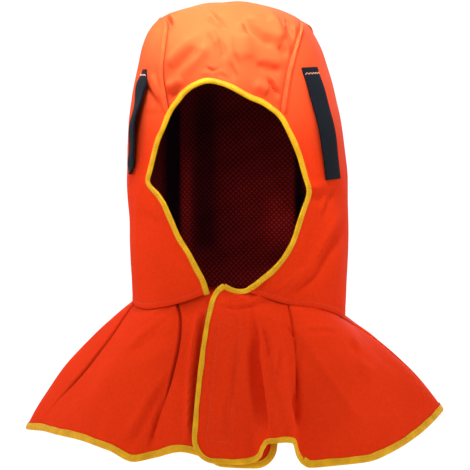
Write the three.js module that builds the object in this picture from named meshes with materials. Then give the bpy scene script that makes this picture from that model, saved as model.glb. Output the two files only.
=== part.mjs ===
// A cloth welding hood as it sits on a head: crown and side panels, mesh lining, a flared cape that laps over
// in front, edge bindings, side straps and the tapes that close the lap.
// Millimetres, +Z up, -Y is the face side and +X the wearer's left. The origin is where the crown rests on
// the head.
import * as THREE from "three";

// Cloth and trim
const cloth = 1.2; // outer drill
const lining = 1.0; // mesh
const tape = 1.0; // binding
const bindingWidth = 6.5;
const sewGap = 0.5; // between layers that are sewn flat on each other
const seatRise = 3.5; // drops are measured from this height, so that the lining's top rests on the head
const seamGap = 0.5; // between two panels' edges along a seam
const liningInset = bindingWidth + 0.8;
const liningDepth = cloth + 0.7;

// Hood sections from the crown down: half width at each ear, reach to the face and to the back of the head
const hoodSections = [
  { drop: 15.0, right: 80.3, left: 61.0, front: 66, back: 70 },
  { drop: 18.5, right: 83.3, left: 65.0, front: 73, back: 78 },
  { drop: 24.0, right: 87.5, left: 70.5, front: 82, back: 88 },
  { drop: 32.0, right: 92.5, left: 75.5, front: 92, back: 97 },
  { drop: 48.0, right: 97.5, left: 82.5, front: 103, back: 107 },
  { drop: 64.0, right: 100.5, left: 87.5, front: 109, back: 113 },
  { drop: 80.0, right: 104.0, left: 92.5, front: 110, back: 117 },
  { drop: 97.0, right: 106.5, left: 96.5, front: 110, back: 120 },
  { drop: 121.0, right: 109.5, left: 101.5, front: 110, back: 123 },
  { drop: 145.0, right: 111.0, left: 104.5, front: 109, back: 124 },
  { drop: 177.0, right: 111.5, left: 107.5, front: 108, back: 124 },
  { drop: 225.0, right: 108.5, left: 108.5, front: 105, back: 119 },
  { drop: 257.0, right: 107.5, left: 107.5, front: 102, back: 112 },
  { drop: 312.0, right: 105.5, left: 105.0, front: 98, back: 103 },
];
const squareness = 2.4; // a round section has 2

// The crown's two seams, by the angle from the ear to the seam, the same towards the face and the back
const crownSeam = [
  { drop: 15.0, right: 7, left: 2 },
  { drop: 16.0, right: 22, left: 3 },
  { drop: 18.0, right: 35.5, left: 5 },
  { drop: 21.0, right: 42, left: 16 },
  { drop: 24.5, right: 46.5, left: 25 },
  { drop: 30.0, right: 50.5, left: 35 },
  { drop: 37.0, right: 53, left: 42.5 },
  { drop: 51.0, right: 56, left: 51 },
  { drop: 70.0, right: 57.5, left: 56.5 },
  { drop: 105.0, right: 61, left: 60 },
  { drop: 160.0, right: 58.5, left: 58.5 },
  { drop: 312.0, right: 57, left: 57 },
];
const crownApex = { 1: 18.5, "-1": 15.3 }; // drop of the left and the right seam at the top of the head
const browCorner = 105; // drop where the seams meet the face edge
const browTop = 80.5; // drop of the face edge at the middle of the brow
const browReach = 111;
const backCentre = 96; // drop of the crown's middle line level with the brow corners
const crownArch = 2.2; // how flat the panel is between its seams
const profileArch = 0.91;
const browSpan = 4; // power of the turn that keeps the brow edge's own line near the edge
const dentSpan = 6; // power of the way across that keeps the dents off the seams

// Face edge below the brow corners: half opening on the wearer's right and left
const faceEdge = [
  { drop: 105, right: 53.5, left: 54.5 },
  { drop: 119, right: 57.2, left: 58.5 },
  { drop: 134, right: 64.2, left: 64.8 },
  { drop: 149, right: 69.0, left: 70.6 },
  { drop: 164, right: 73.5, left: 74.6 },
  { drop: 173, right: 76.0, left: 77.0 },
  { drop: 186, right: 64.0, left: 79.3 },
  { drop: 194, right: 58.4, left: 76.2 },
  { drop: 208, right: 51.8, left: 71.6 },
  { drop: 223, right: 44.0, left: 67.0 },
  { drop: 238, right: 33.3, left: 58.2 },
  { drop: 253, right: 25.2, left: 43.8 },
  { drop: 266, right: 19.0, left: 29.0 },
  { drop: 279, right: 15.2, left: 16.5 },
];
// Face edge along the brow, from the right seam to the left one
const browEdge = [
  { across: -1.0, drop: 105.0 },
  { across: -0.8, drop: 96.3 },
  { across: -0.66, drop: 88.2 },
  { across: -0.5, drop: 82.6 },
  { across: -0.28, drop: 80.5 },
  { across: 0.0, drop: 81.7 },
  { across: 0.35, drop: 88.2 },
  { across: 0.6, drop: 95.0 },
  { across: 0.82, drop: 101.5 },
  { across: 1.0, drop: 105.0 },
];

// Soft dents of the cloth over the head, each a round hollow or swell: middle, spread and how far it goes out
const dents = [
  { x: -4, y: -92, drop: 32, spread: 13, out: -2.6 },
  { x: 20, y: -95, drop: 38, spread: 16, out: 1.8 },
  { x: -13, y: -104, drop: 60, spread: 13, out: -2.4 },
  { x: 50, y: -96, drop: 76, spread: 13, out: -2.4 },
  { x: -38, y: -98, drop: 62, spread: 15, out: 1.6 },
  { x: 90, y: -68, drop: 192, spread: 15, out: -2.0 },
  { x: 78, y: -82, drop: 222, spread: 15, out: -2.2 },
  { x: 62, y: -88, drop: 252, spread: 15, out: -1.6 },
  { x: 98, y: -50, drop: 250, spread: 22, out: 2.0 },
  { x: -86, y: -66, drop: 250, spread: 22, out: 1.6 },
  { x: -72, y: -84, drop: 215, spread: 16, out: -1.6 },
  { x: 20, y: 118, drop: 200, spread: 26, out: -2.4 },
  { x: -24, y: 116, drop: 245, spread: 24, out: 2.0 },
];

// Neck seam, by the angle from the face side towards the wearer's left
const neckSeam = [
  { angle: -180, drop: 306 },
  { angle: -90, drop: 297 },
  { angle: -50, drop: 293 },
  { angle: -28, drop: 287.5 },
  { angle: -10, drop: 279.5 },
  { angle: 0, drop: 279 },
  { angle: 9, drop: 282 },
  { angle: 21, drop: 288.5 },
  { angle: 41, drop: 295 },
  { angle: 70, drop: 303.5 },
  { angle: 90, drop: 309 },
  { angle: 180, drop: 306 },
];
const neckLevel = 279; // lowest level of the side panels at the face side
const neckBlend = 205; // below this level the panels' rows follow the neck seam
const neckLap = 5; // the cape's top edge lies this far up inside the hood
const neckHold = 1.5; // and keeps the neck's section this far below the seam

// Cape hem by angle: reach from the axis, extra push of a fold that grows towards the hem, and hem's drop.
// Angles past 360 are the under flap, behind the outer one.
const capeHem = [
  { angle: -12, reach: 147, fold: 0, drop: 438 },
  { angle: 7, reach: 149, fold: 0, drop: 438 },
  { angle: 12.5, reach: 152, fold: -1, drop: 435 },
  { angle: 16, reach: 155, fold: 0, drop: 429 },
  { angle: 18.5, reach: 158, fold: 11, drop: 415 },
  { angle: 21.5, reach: 161, fold: 15, drop: 411.5 },
  { angle: 24, reach: 164, fold: 10, drop: 416 },
  { angle: 27, reach: 166, fold: 0, drop: 430 },
  { angle: 32, reach: 169, fold: -2, drop: 439 },
  { angle: 41, reach: 175, fold: 0, drop: 437 },
  { angle: 51, reach: 180, fold: 2, drop: 436 },
  { angle: 61, reach: 184, fold: 1, drop: 430.5 },
  { angle: 77, reach: 194, fold: 0, drop: 415 },
  { angle: 90, reach: 201, fold: 2, drop: 400 },
  { angle: 108, reach: 195, fold: -4, drop: 408 },
  { angle: 124, reach: 186, fold: 6, drop: 412 },
  { angle: 142, reach: 172, fold: -6, drop: 426 },
  { angle: 160, reach: 165, fold: 6, drop: 421 },
  { angle: 180, reach: 161, fold: -5, drop: 430 },
  { angle: 200, reach: 165, fold: 6, drop: 423 },
  { angle: 218, reach: 174, fold: -6, drop: 430 },
  { angle: 236, reach: 188, fold: 6, drop: 421 },
  { angle: 252, reach: 202, fold: -3, drop: 425 },
  { angle: 270, reach: 212, fold: 2, drop: 427 },
  { angle: 283, reach: 190, fold: 0, drop: 425.5 },
  { angle: 297, reach: 170, fold: 0, drop: 426 },
  { angle: 315, reach: 156, fold: 1, drop: 431 },
  { angle: 325.5, reach: 150.5, fold: 2, drop: 440 },
  { angle: 333, reach: 148, fold: -4, drop: 435.5 },
  { angle: 346, reach: 146, fold: 0, drop: 427 },
  { angle: 353, reach: 146, fold: 0, drop: 430 },
  { angle: 362, reach: 147, fold: 0, drop: 438 },
  { angle: 381, reach: 149, fold: 0, drop: 440 },
];
// Gores of the cape, each from its own tuck line to the next: angle of the line at the neck and at the hem,
// columns of the gore, and how far the cloth steps up at the line
const gores = [
  { neck: -6, hem: -9.5, columns: 15, step: 0 },
  { neck: 33, hem: 29, columns: 7, step: 1.6 },
  { neck: 61, hem: 65, columns: 6, step: 1.2 },
  { neck: 90, hem: 92, columns: 5, step: 1.2 },
  { neck: 120, hem: 118, columns: 5, step: 1.6 },
  { neck: 150, hem: 152, columns: 5, step: 1.6 },
  { neck: 180, hem: 180, columns: 5, step: 1.6 },
  { neck: 210, hem: 208, columns: 5, step: 1.6 },
  { neck: 240, hem: 242, columns: 5, step: 1.6 },
  { neck: 270, hem: 262, columns: 5, step: 1.2 },
  { neck: 310, hem: 278, columns: 8, step: 1.6 },
  { neck: 333, hem: 334, columns: 11, step: 1.6 },
  { neck: 381, hem: 381, columns: 0, step: 0 },
];
const goreGap = 0.35; // degrees between the two columns at a tuck
const stepFade = { from: 0.1, to: 0.8 }; // shares of the cape's length where a tuck's step fades out
const capeRows = [0, 0.04, 0.21, 0.46, 0.75];
const capeBow = 0.48; // how far the cape bows out between neck and hem
const lapSet = cloth + 1.3; // the cape's top edge lies this far inside the hood's outer face
const cornerSet = 2.2; // and this much further in beside the face binding's ends
const flapLift = 3.0; // the outer flap stands this far out
const flapFade = { neck: 10, lower: 26, over: 14, by: 0.3 }; // where that lift ends, in degrees
const underSet = 4.0; // the under flap lies this far in
const underFade = { from: 322, to: 350 };
const cornerFade = { from: 22, to: 40, by: 0.25 };
const flapCorner = 24; // radius of the flaps' lower corners
const hemJoint = 30; // angle where the front binding meets the hem binding
const flapTopEnd = 8.5; // angle where it starts, on the outer flap's top edge

// Straps on the side panels and the tapes of the lap
const strapWidth = 28;
const strapThick = 1.6;
const strapTop = { drop: 64, turn: { 1: 35, "-1": 42 } }; // degrees from the ear, on the left and the right
const strapEnd = { drop: 172, turn: { 1: 26, "-1": 34 } };
const strapSlack = 3.0; // how far the strap stands off between its sewn ends
const strapRows = 8;
const closureWidth = 24;
const closureThick = 1.4;
const closureGap = { loop: 0.85, hook: 0.7 }; // between a tape and its flap
const closureRows = 8;
const loopTape = { angle: -2, hemAngle: -4.6, from: 0.21, to: 0.88 }; // on the outer flap's inner face
const hookTape = { angle: 351.5, hemAngle: 353, from: 0.1, to: 0.84 }; // on the under flap's outer face

const orange = { color: 0xe8421a, roughness: 0.75 };
const yellow = { color: 0xe0a520, roughness: 0.6 };
const navy = { color: 0x22262e, roughness: 0.8 };
const black = { color: 0x1a0c0e, roughness: 0.9 };

const radians = THREE.MathUtils.degToRad;
const { lerp, smoothstep, clamp } = THREE.MathUtils;

// A smooth curve through one column of a table, with no overshoot between its rows
function curve(table, by, of) {
  const x = table.map((row) => row[by]);
  const y = table.map((row) => row[of]);
  const secant = (i) => (y[i + 1] - y[i]) / (x[i + 1] - x[i]);
  const slope = x.map((_, i) => {
    if (i === 0) return secant(0);
    if (i === x.length - 1) return secant(i - 1);
    const before = secant(i - 1);
    const after = secant(i);
    return before * after <= 0 ? 0 : (2 * before * after) / (before + after);
  });
  return (at) => {
    const to = clamp(at, x[0], x[x.length - 1]);
    let i = 0;
    while (i < x.length - 2 && to > x[i + 1]) i += 1;
    const width = x[i + 1] - x[i];
    const t = (to - x[i]) / width;
    const rise = t * t * (3 - 2 * t);
    const bend = width * t * (1 - t);
    return lerp(y[i], y[i + 1], rise) + bend * ((1 - t) * slope[i] - t * slope[i + 1]);
  };
}

const sides = { 1: curve(hoodSections, "drop", "left"), "-1": curve(hoodSections, "drop", "right") };
const front = curve(hoodSections, "drop", "front");
const back = curve(hoodSections, "drop", "back");
const seamTurn = { 1: curve(crownSeam, "drop", "left"), "-1": curve(crownSeam, "drop", "right") };
const faceHalf = { 1: curve(faceEdge, "drop", "left"), "-1": curve(faceEdge, "drop", "right") };
const browDrop = curve(browEdge, "across", "drop");
const neckDropAt = curve(neckSeam, "angle", "drop");
const hemReach = curve(capeHem, "angle", "reach");
const hemFold = curve(capeHem, "angle", "fold");
const hemDrop = curve(capeHem, "angle", "drop");
const wrapped = (angle) => ((angle + 540) % 360) - 180;
const neckDrop = (angle) => neckDropAt(wrapped(angle));

// Hood surface

// Distance of a section from the axis, at an angle from one ear towards the face
function sectionRadius(drop, turn, hand) {
  const across = Math.abs(Math.cos(radians(turn))) / sides[hand](drop);
  const along = Math.abs(Math.sin(radians(turn))) / (turn > 0 ? front(drop) : back(drop));
  return (across ** squareness + along ** squareness) ** (-1 / squareness);
}

// Angle where the face edge is a given half width
function faceTurn(drop, hand) {
  const half = faceHalf[hand](drop);
  const reach = front(drop) * (1 - (half / sides[hand](drop)) ** squareness) ** (1 / squareness);
  return THREE.MathUtils.radToDeg(Math.atan2(reach, half));
}

// A point moved by the dents, along the line from the middle of the head
const headMiddle = 120;
function fromMiddle(p) {
  const middle = new THREE.Vector3(0, 5, Math.min(p.z, -headMiddle));
  return p.clone().sub(middle).normalize();
}
function dented(p) {
  const out = dents.reduce((sum, dent) => {
    const far = (p.x - dent.x) ** 2 + (p.y - dent.y) ** 2 + (p.z + dent.drop) ** 2;
    return sum + dent.out * Math.exp(-far / (2 * dent.spread ** 2));
  }, 0);
  return p.clone().addScaledVector(fromMiddle(p), out);
}

// The neck seam's slope, carried up into the panels' lower rows
function slopedDrop(level, turn, hand) {
  const angle = hand * (90 - turn);
  return level + (neckDrop(angle) - neckLevel) * smoothstep(level, neckBlend, neckLevel);
}

// A point of a side panel, on the wearer's left (hand 1) or right (hand -1)
function sidePoint(level, turn, hand) {
  const r = sectionRadius(level, turn, hand);
  const x = hand * r * Math.cos(radians(turn));
  return dented(new THREE.Vector3(x, -r * Math.sin(radians(turn)), -slopedDrop(level, turn, hand)));
}

// Levels of the dome between a seam's apex and the brow corner, closer together near the top
const domeTurns = [0.03, 0.11, 0.21, 0.34, 0.48, 0.62, 0.75, 0.86, 0.95, 1];
const domeRise = (turn) => 1 - Math.cos(radians(90 * turn)) ** profileArch;
const domeLevel = (turn, hand) => lerp(crownApex[hand], browCorner, domeRise(turn));
const faceLevels = faceEdge.slice(1).map((row) => row.drop);
const domeRows = domeTurns.map((turn) => ({ turn }));
const shellRows = [...domeRows, ...faceLevels.map((level) => ({ turn: 1, level }))];
const levelOf = (row, hand) => row.level ?? domeLevel(row.turn, hand);
const seamPoint = (row, towards, hand) => {
  const level = levelOf(row, hand);
  return sidePoint(level, towards * seamTurn[hand](level), hand);
};

// A seam's cloth edges are cut square to the line from the middle of the head
const seamNormal = fromMiddle;

// A point of the crown panel, in a row that joins the two seams towards the face (1) or the back (-1). Across
// runs from the right seam (-1) to the left one (1).
function crownPoint({ row, towards }, across) {
  const seams = { 1: seamPoint(row, towards, 1), "-1": seamPoint(row, towards, -1) };
  const seam = seams[across < 0 ? -1 : 1];
  const level = row.level ?? browCorner;
  const sine = Math.sin(radians(90 * row.turn)) ** profileArch;
  const share = Math.abs(across) ** crownArch;
  const centreY = towards > 0 ? -browReach * sine : back(level) * sine;
  let centreDrop = (towards > 0 ? browTop : backCentre) * domeRise(row.turn);
  if (row.level) {
    centreDrop = lerp(backCentre, neckDrop(180), (row.level - browCorner) / (neckLevel - browCorner));
  }
  const p = new THREE.Vector3(lerp((seams[1].x + seams[-1].x) / 2, seam.x, Math.abs(across)), 0, 0);
  p.y = lerp(centreY, seam.y, share);
  p.z = -lerp(centreDrop, -seam.z, share);
  if (towards > 0) p.z -= (browDrop(across) - lerp(browTop, browCorner, share)) * row.turn ** browSpan;
  const between = 1 - Math.abs(across) ** dentSpan;
  return p.lerp(dented(p), between);
}

// Cape surface

// How far the cape lies out from the hood's outer face at the neck, or from its own base lower down
function capeLayer(angle, share) {
  const nearFront = 1 - smoothstep(Math.abs(wrapped(angle)), cornerFade.from, cornerFade.to);
  const fallsAt = lerp(flapFade.neck, flapFade.lower, smoothstep(share, 0, flapFade.by));
  const lift = 1 - smoothstep(angle, fallsAt - flapFade.over, fallsAt);
  const under = smoothstep(angle, underFade.from, underFade.to);
  const corner = nearFront * (1 - lift) * (1 - smoothstep(share, 0, cornerFade.by));
  return flapLift * lift - underSet * under - cornerSet * corner;
}

// A point of the cape at an angle from the face side; along runs from its top edge (0) to the hem (1)
function capePoint(angle, along) {
  const neck = neckDrop(angle);
  const drop = lerp(neck - neckLap, hemDrop(angle), along);
  const share = clamp((drop - neck - neckHold) / (hemDrop(angle) - neck - neckHold), 0, 1);
  const around = wrapped(angle);
  const top = sectionRadius(neck, 90 - Math.abs(around), around < 0 ? -1 : 1) - lapSet;
  const spread = share + capeBow * share * (1 - share);
  const r = lerp(top, hemReach(angle), spread) + hemFold(angle) * share ** 2 + capeLayer(angle, share);
  return new THREE.Vector3(r * Math.sin(radians(angle)), -r * Math.cos(radians(angle)), -drop);
}

// Length of the cape along one angle, for offsets in millimetres
const capeLength = (angle) => capePoint(angle, 0.05).distanceTo(capePoint(angle, 1)) / 0.95;
const capeDegrees = (angle, along) => capePoint(angle, along).distanceTo(capePoint(angle + 1, along));

// Where the hem ends at a distance from a flap's front edge, with the lower corner rounded
function flapEnd(distance, angle) {
  if (distance >= flapCorner) return 1;
  const rise = flapCorner - Math.sqrt(flapCorner ** 2 - (flapCorner - distance) ** 2);
  return 1 - rise / capeLength(angle);
}

// Sheets and bands

// Normals of a grid of points, from the neighbours on both sides
function gridNormals(grid) {
  return grid.map((row, i) =>
    row.map((_, j) => {
      const up = grid[Math.max(i - 1, 0)][j];
      const down = grid[Math.min(i + 1, grid.length - 1)][j];
      const near = row[Math.max(j - 1, 0)];
      const far = row[Math.min(j + 1, row.length - 1)];
      return down.clone().sub(up).cross(far.clone().sub(near)).normalize();
    }),
  );
}

// A quad split along its shorter diagonal
function quad(points, a, b, c, d) {
  const isShort = points[a].distanceTo(points[c]) <= points[b].distanceTo(points[d]);
  return isShort ? [a, b, c, a, c, d] : [a, b, d, b, c, d];
}

function meshOf(name, points, index, look) {
  const geometry = new THREE.BufferGeometry();
  const seated = points.flatMap((p) => [p.x, p.y, p.z + seatRise]);
  geometry.setAttribute("position", new THREE.Float32BufferAttribute(seated, 3));
  geometry.setIndex(signedVolume(points, index) < 0 ? index.reverse() : index);
  geometry.computeVertexNormals();
  const mesh = new THREE.Mesh(geometry, new THREE.MeshStandardMaterial({ metalness: 0, ...look }));
  mesh.name = name;
  return mesh;
}

function signedVolume(points, index) {
  let total = 0;
  for (let i = 0; i < index.length; i += 3) {
    const [a, b, c] = [points[index[i]], points[index[i + 1]], points[index[i + 2]]];
    total += a.dot(b.clone().cross(c));
  }
  return total / 6;
}

// A wall of one thickness under a grid of points, set in from them by a depth. Normals point out of the hood.
function sheet(name, grid, normals, depth, thickness, look) {
  const rows = grid.length;
  const columns = grid[0].length;
  const insetBy = (inset) => (p, i, j) => p.clone().addScaledVector(normals[i][j], -inset);
  const layer = (move) => grid.flatMap((row, i) => row.map((p, j) => move(p, i, j)));
  const points = [...layer(insetBy(depth)), ...layer(insetBy(depth + thickness))];
  const at = (i, j, inner) => inner * rows * columns + i * columns + j;
  const last = { row: rows - 1, column: columns - 1 };
  const index = [];
  for (let i = 0; i < rows - 1; i += 1) {
    for (let j = 0; j < columns - 1; j += 1) {
      index.push(...quad(points, at(i, j, 0), at(i, j + 1, 0), at(i + 1, j + 1, 0), at(i + 1, j, 0)));
      index.push(...quad(points, at(i, j, 1), at(i + 1, j, 1), at(i + 1, j + 1, 1), at(i, j + 1, 1)));
    }
  }
  for (let j = 0; j < columns - 1; j += 1) {
    index.push(...quad(points, at(0, j, 0), at(0, j, 1), at(0, j + 1, 1), at(0, j + 1, 0)));
    const i = last.row;
    index.push(...quad(points, at(i, j, 0), at(i, j + 1, 0), at(i, j + 1, 1), at(i, j, 1)));
  }
  for (let i = 0; i < rows - 1; i += 1) {
    index.push(...quad(points, at(i, 0, 0), at(i + 1, 0, 0), at(i + 1, 0, 1), at(i, 0, 1)));
    const j = last.column;
    index.push(...quad(points, at(i, j, 0), at(i, j, 1), at(i + 1, j, 1), at(i + 1, j, 0)));
  }
  return meshOf(name, points, index, look);
}

// A tape folded over a cloth edge. A station has the edge point, the point a binding's width in, and both
// normals.
function binding(name, stations, look) {
  const clear = sewGap;
  const under = -cloth - clear;
  const rings = stations.map(({ edge, inner, edgeNormal, innerNormal }) => {
    const outwards = edge.clone().sub(inner).normalize();
    const over = (p, n, height) => p.clone().addScaledVector(n, height);
    const outerLeg = [over(inner, innerNormal, clear), over(inner, innerNormal, clear + tape)];
    const turnOuter = over(edge, edgeNormal, clear + tape).addScaledVector(outwards, clear);
    const turnInner = over(edge, edgeNormal, under - tape).addScaledVector(outwards, clear);
    const nose = over(edge, edgeNormal, -cloth / 2).addScaledVector(outwards, clear + tape);
    const innerLeg = [over(inner, innerNormal, under - tape), over(inner, innerNormal, under)];
    const bedInner = over(edge, edgeNormal, under).addScaledVector(outwards, clear);
    const bedOuter = over(edge, edgeNormal, clear).addScaledVector(outwards, clear);
    return [...outerLeg, turnOuter, nose, turnInner, ...innerLeg, bedInner, bedOuter];
  });
  const sides = rings[0].length;
  const points = rings.flat();
  const at = (i, k) => i * sides + (k % sides);
  const index = [];
  for (let i = 0; i < rings.length - 1; i += 1) {
    for (let k = 0; k < sides; k += 1) {
      index.push(...quad(points, at(i, k), at(i, k + 1), at(i + 1, k + 1), at(i + 1, k)));
    }
  }
  for (const [i, turned] of [[0, true], [rings.length - 1, false]]) {
    for (const [a, b, c, d] of [[0, 1, 2, 8], [8, 2, 3, 7], [7, 3, 4, 7], [7, 4, 5, 6]]) {
      const corners = [a, b, c, d].map((k) => at(i, k));
      const cap = a === d ? corners.slice(0, 3) : quad(points, ...corners);
      index.push(...(turned ? cap.reverse() : cap));
    }
  }
  return meshOf(name, points, index, look);
}

// Hood panels

const panelColumns = [0.09, 0.18, 0.27, 0.36, 0.46, 0.57, 0.68, 0.79, 0.9, 1];

// Grid of a side panel. The first columns are the front edge and, on the shell, the binding's inner line. The
// lining starts behind the binding where there is one. The top row is the short straight edge at the apex.
function sideGrid(hand, rows, isLining) {
  return rows.map((row) => {
    const level = levelOf(row, hand);
    const isSeam = row.turn < 1 || !row.level && !isLining;
    const start = row.level ? faceTurn(level, hand) : seamTurn[hand](level);
    const end = -seamTurn[hand](level);
    const width = sectionRadius(level, start, hand) * radians(start - end);
    const gap = seamGap / 2 / width;
    const first = isSeam ? gap : 0;
    const band = first + bindingWidth / width;
    const behind = isSeam ? first : first + liningInset / width;
    const edges = isLining ? [behind] : [first, band];
    const shares = [...edges, ...panelColumns.map((at) => lerp(band, 1 - gap, at))];
    if (row.turn === domeTurns[0]) {
      const ends = [start, end].map((turn) => sidePoint(level, turn, hand));
      return shares.map((share) => ends[0].clone().lerp(ends[1], share));
    }
    return shares.map((share) => sidePoint(level, lerp(start, end, share), hand));
  });
}

// Normals of a side panel. Along the crown's seams they are square to the seam.
function sideNormals(grid, hand, rows, isLining) {
  const normals = gridNormals(grid).map((row) => row.map((n) => n.multiplyScalar(hand)));
  grid.forEach((points, i) => {
    const { turn, level } = rows[i];
    if (turn < 1 || !level && !isLining) normals[i][0] = seamNormal(points[0]);
    normals[i][points.length - 1] = seamNormal(points[points.length - 1]);
  });
  normals[0] = grid[0].map(seamNormal);
  return normals;
}

const crownColumns = [-1, -0.82, -0.62, -0.36, 0, 0.36, 0.62, 0.82, 1];
const crownStations = (frontRows, backRows) => [
  ...frontRows.toReversed().map((row) => ({ row, towards: 1 })),
  ...backRows.map((row) => ({ row, towards: -1 })),
];
const backRows = shellRows.filter(({ level }, i) => !level || (shellRows.length - 1 - i) % 2 === 0);

// Grid of the crown panel, one row to a station, with a gap to the side panels
function crownGrid(stations) {
  return stations.map((station) => {
    const half = seamPoint(station.row, station.towards, 1).x;
    return crownColumns.map((across) => crownPoint(station, across * (1 - seamGap / 2 / half)));
  });
}

function crownNormals(grid) {
  const normals = gridNormals(grid).map((row) => row.map((n) => n.negate()));
  grid.forEach((row, i) => {
    normals[i][0] = seamNormal(row[0]);
    normals[i][row.length - 1] = seamNormal(row[row.length - 1]);
  });
  return normals;
}

// Lining rows: behind the binding at the brow, and ending above the cape's top edge
const liningBrow = { turn: 0.93 };
const liningDome = [...domeRows.slice(0, -2), liningBrow];
const liningBottom = { turn: 1, level: neckLevel - neckLap - 2 };
const liningRows = [
  ...liningDome,
  { turn: 1 },
  ...faceLevels.slice(0, -1).map((level) => ({ turn: 1, level })),
  liningBottom,
];
const liningClear = ({ level }) => !level || level < liningBottom.level - neckLap;
const liningBackRows = [...backRows.filter(liningClear), liningBottom];

// Cape

const cornerTurns = [0, 18, 36, 54, 72, 90]; // along the round lower corner of a flap
const cornerRoom = 1.25; // radii from a flap's edge to the first column past its corner

// Columns of the cape: angle at the neck and at the hem, distance to the nearer flap edge and the tuck's step
const capeColumns = gores.slice(0, -1).flatMap((gore, g) => {
  const next = gores[g + 1];
  const isFirst = g === 0;
  const isLast = g === gores.length - 2;
  const width = (next.hem - gore.hem) * capeDegrees((gore.hem + next.hem) / 2, 1);
  const corner = cornerTurns.map((turn) => (flapCorner * (1 - Math.cos(radians(turn)))) / width);
  const even = Array.from({ length: gore.columns + 1 }, (_, k) => k / gore.columns);
  const clear = (cornerRoom * flapCorner) / width;
  let shares = even;
  if (isFirst) shares = [...corner, ...even.filter((share) => share > clear)];
  const farCorner = corner.toReversed().map((share) => 1 - share);
  if (isLast) shares = [...even.filter((share) => share < 1 - clear), ...farCorner];
  return shares.map((share) => {
    const nudge = goreGap * ((share === 0 && !isFirst ? 1 : 0) - (share === 1 && !isLast ? 1 : 0));
    const edge = Math.min(isFirst ? share * width : Infinity, isLast ? (1 - share) * width : Infinity);
    const neckAngle = lerp(gore.neck, next.neck, share) + nudge;
    const hemAngle = lerp(gore.hem, next.hem, share) + nudge;
    return { neckAngle, hemAngle, edge, step: gore.step * (1 - share) ** 3 };
  });
});

// Outward normal of the cape's smooth surface
function capeNormal(angle, along) {
  const around = capePoint(angle + 0.2, along).sub(capePoint(angle - 0.2, along));
  const down = capePoint(angle, Math.min(along + 0.01, 1)).sub(capePoint(angle, Math.max(along - 0.01, 0)));
  return down.cross(around).normalize();
}

const columnEnd = ({ edge, hemAngle }) => flapEnd(edge, hemAngle);
const columnAngle = ({ neckAngle, hemAngle }, along) => lerp(neckAngle, hemAngle, along);
const bandShare = (angle) => bindingWidth / capeLength(angle);

const capeShares = capeColumns.map((column) => {
  const end = columnEnd(column);
  return [...capeRows.map((row) => row * end), end - bandShare(column.hemAngle), end];
});
const capeRowCount = capeShares[0].length;
const capeGrid = [];
const capeNormals = [];
for (let i = 0; i < capeRowCount; i += 1) {
  const shares = capeShares.map((column) => column[i]);
  const angles = capeColumns.map((column, j) => columnAngle(column, shares[j]));
  const normals = angles.map((angle, j) => capeNormal(angle, shares[j]));
  capeNormals.push(normals);
  capeGrid.push(
    capeColumns.map((column, j) => {
      const step = column.step * (1 - smoothstep(shares[j], stepFade.from, stepFade.to));
      return capePoint(angles[j], shares[j]).addScaledVector(normals[j], step);
    }),
  );
}

// Bindings

const bandStation = (grid, normals, i, j, iIn, jIn) => ({
  edge: grid[i][j],
  inner: grid[iIn][jIn],
  edgeNormal: normals[i][j],
  innerNormal: normals[iIn][jIn],
});

// A binding's station on the cape, going in by a binding's width at a slope from level (0) to upright (90)
function capeStation(angle, along, slope, inwards) {
  const turn = (inwards * bindingWidth * Math.cos(radians(slope))) / capeDegrees(angle, along);
  const rise = bandShare(angle) * Math.sin(radians(slope));
  const [innerAngle, innerAlong] = [angle + turn, along - rise];
  return {
    edge: capePoint(angle, along),
    inner: capePoint(innerAngle, innerAlong),
    edgeNormal: capeNormal(angle, along),
    innerNormal: capeNormal(innerAngle, innerAlong),
  };
}

// Down a flap's front edge and round its lower corner, in the cape's own columns
function flapStations(columns, inwards) {
  const [edge] = columns;
  const straight = capeRows.slice(1).map((row) => row * columnEnd(edge));
  const round = columns.slice(0, cornerTurns.length - 1);
  return [
    ...straight.map((along) => capeStation(columnAngle(edge, along), along, 0, inwards)),
    ...round.map((column, k) => {
      const along = columnEnd(column);
      return capeStation(columnAngle(column, along), along, cornerTurns[k], inwards);
    }),
  ];
}

const hemStations = (from, to) => capeColumns
  .filter(({ hemAngle, edge }) => hemAngle >= from && hemAngle <= to && edge > flapCorner - 0.01)
  .map(({ hemAngle }) => capeStation(hemAngle, 1, 90, 1));

const seamStation = (hand) => {
  const at = (level) => sidePoint(level, seamTurn[hand](level), hand);
  const edge = at(browCorner);
  const inner = at(browCorner - bindingWidth);
  return { edge, inner, edgeNormal: seamNormal(edge), innerNormal: seamNormal(inner) };
};

const cheekStations = ({ grid, normals }) => grid
  .map((_, i) => i)
  .slice(domeTurns.length)
  .map((i) => bandStation(grid, normals, i, 0, i, 1));

// Straps and closure tapes

function strap(name, hand) {
  const rows = Array.from({ length: strapRows }, (_, i) => i / (strapRows - 1));
  const grid = rows.map((share) => {
    const level = lerp(strapTop.drop, strapEnd.drop, share);
    const turn = lerp(strapTop.turn[hand], strapEnd.turn[hand], share);
    const half = THREE.MathUtils.radToDeg(strapWidth / 2 / sectionRadius(level, turn, hand));
    return [half, 0, -half].map((step) => sidePoint(level, turn + step, hand));
  });
  const normals = gridNormals(grid).map((row) => row.map((n) => n.multiplyScalar(hand)));
  const raised = grid.map((row, i) => {
    const slack = strapSlack * smoothstep(Math.sin(Math.PI * rows[i]), 0.3, 1);
    return row.map((p, j) => p.clone().addScaledVector(normals[i][j], slack));
  });
  return sheet(name, raised, normals, -sewGap - strapThick, strapThick, navy);
}

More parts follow.
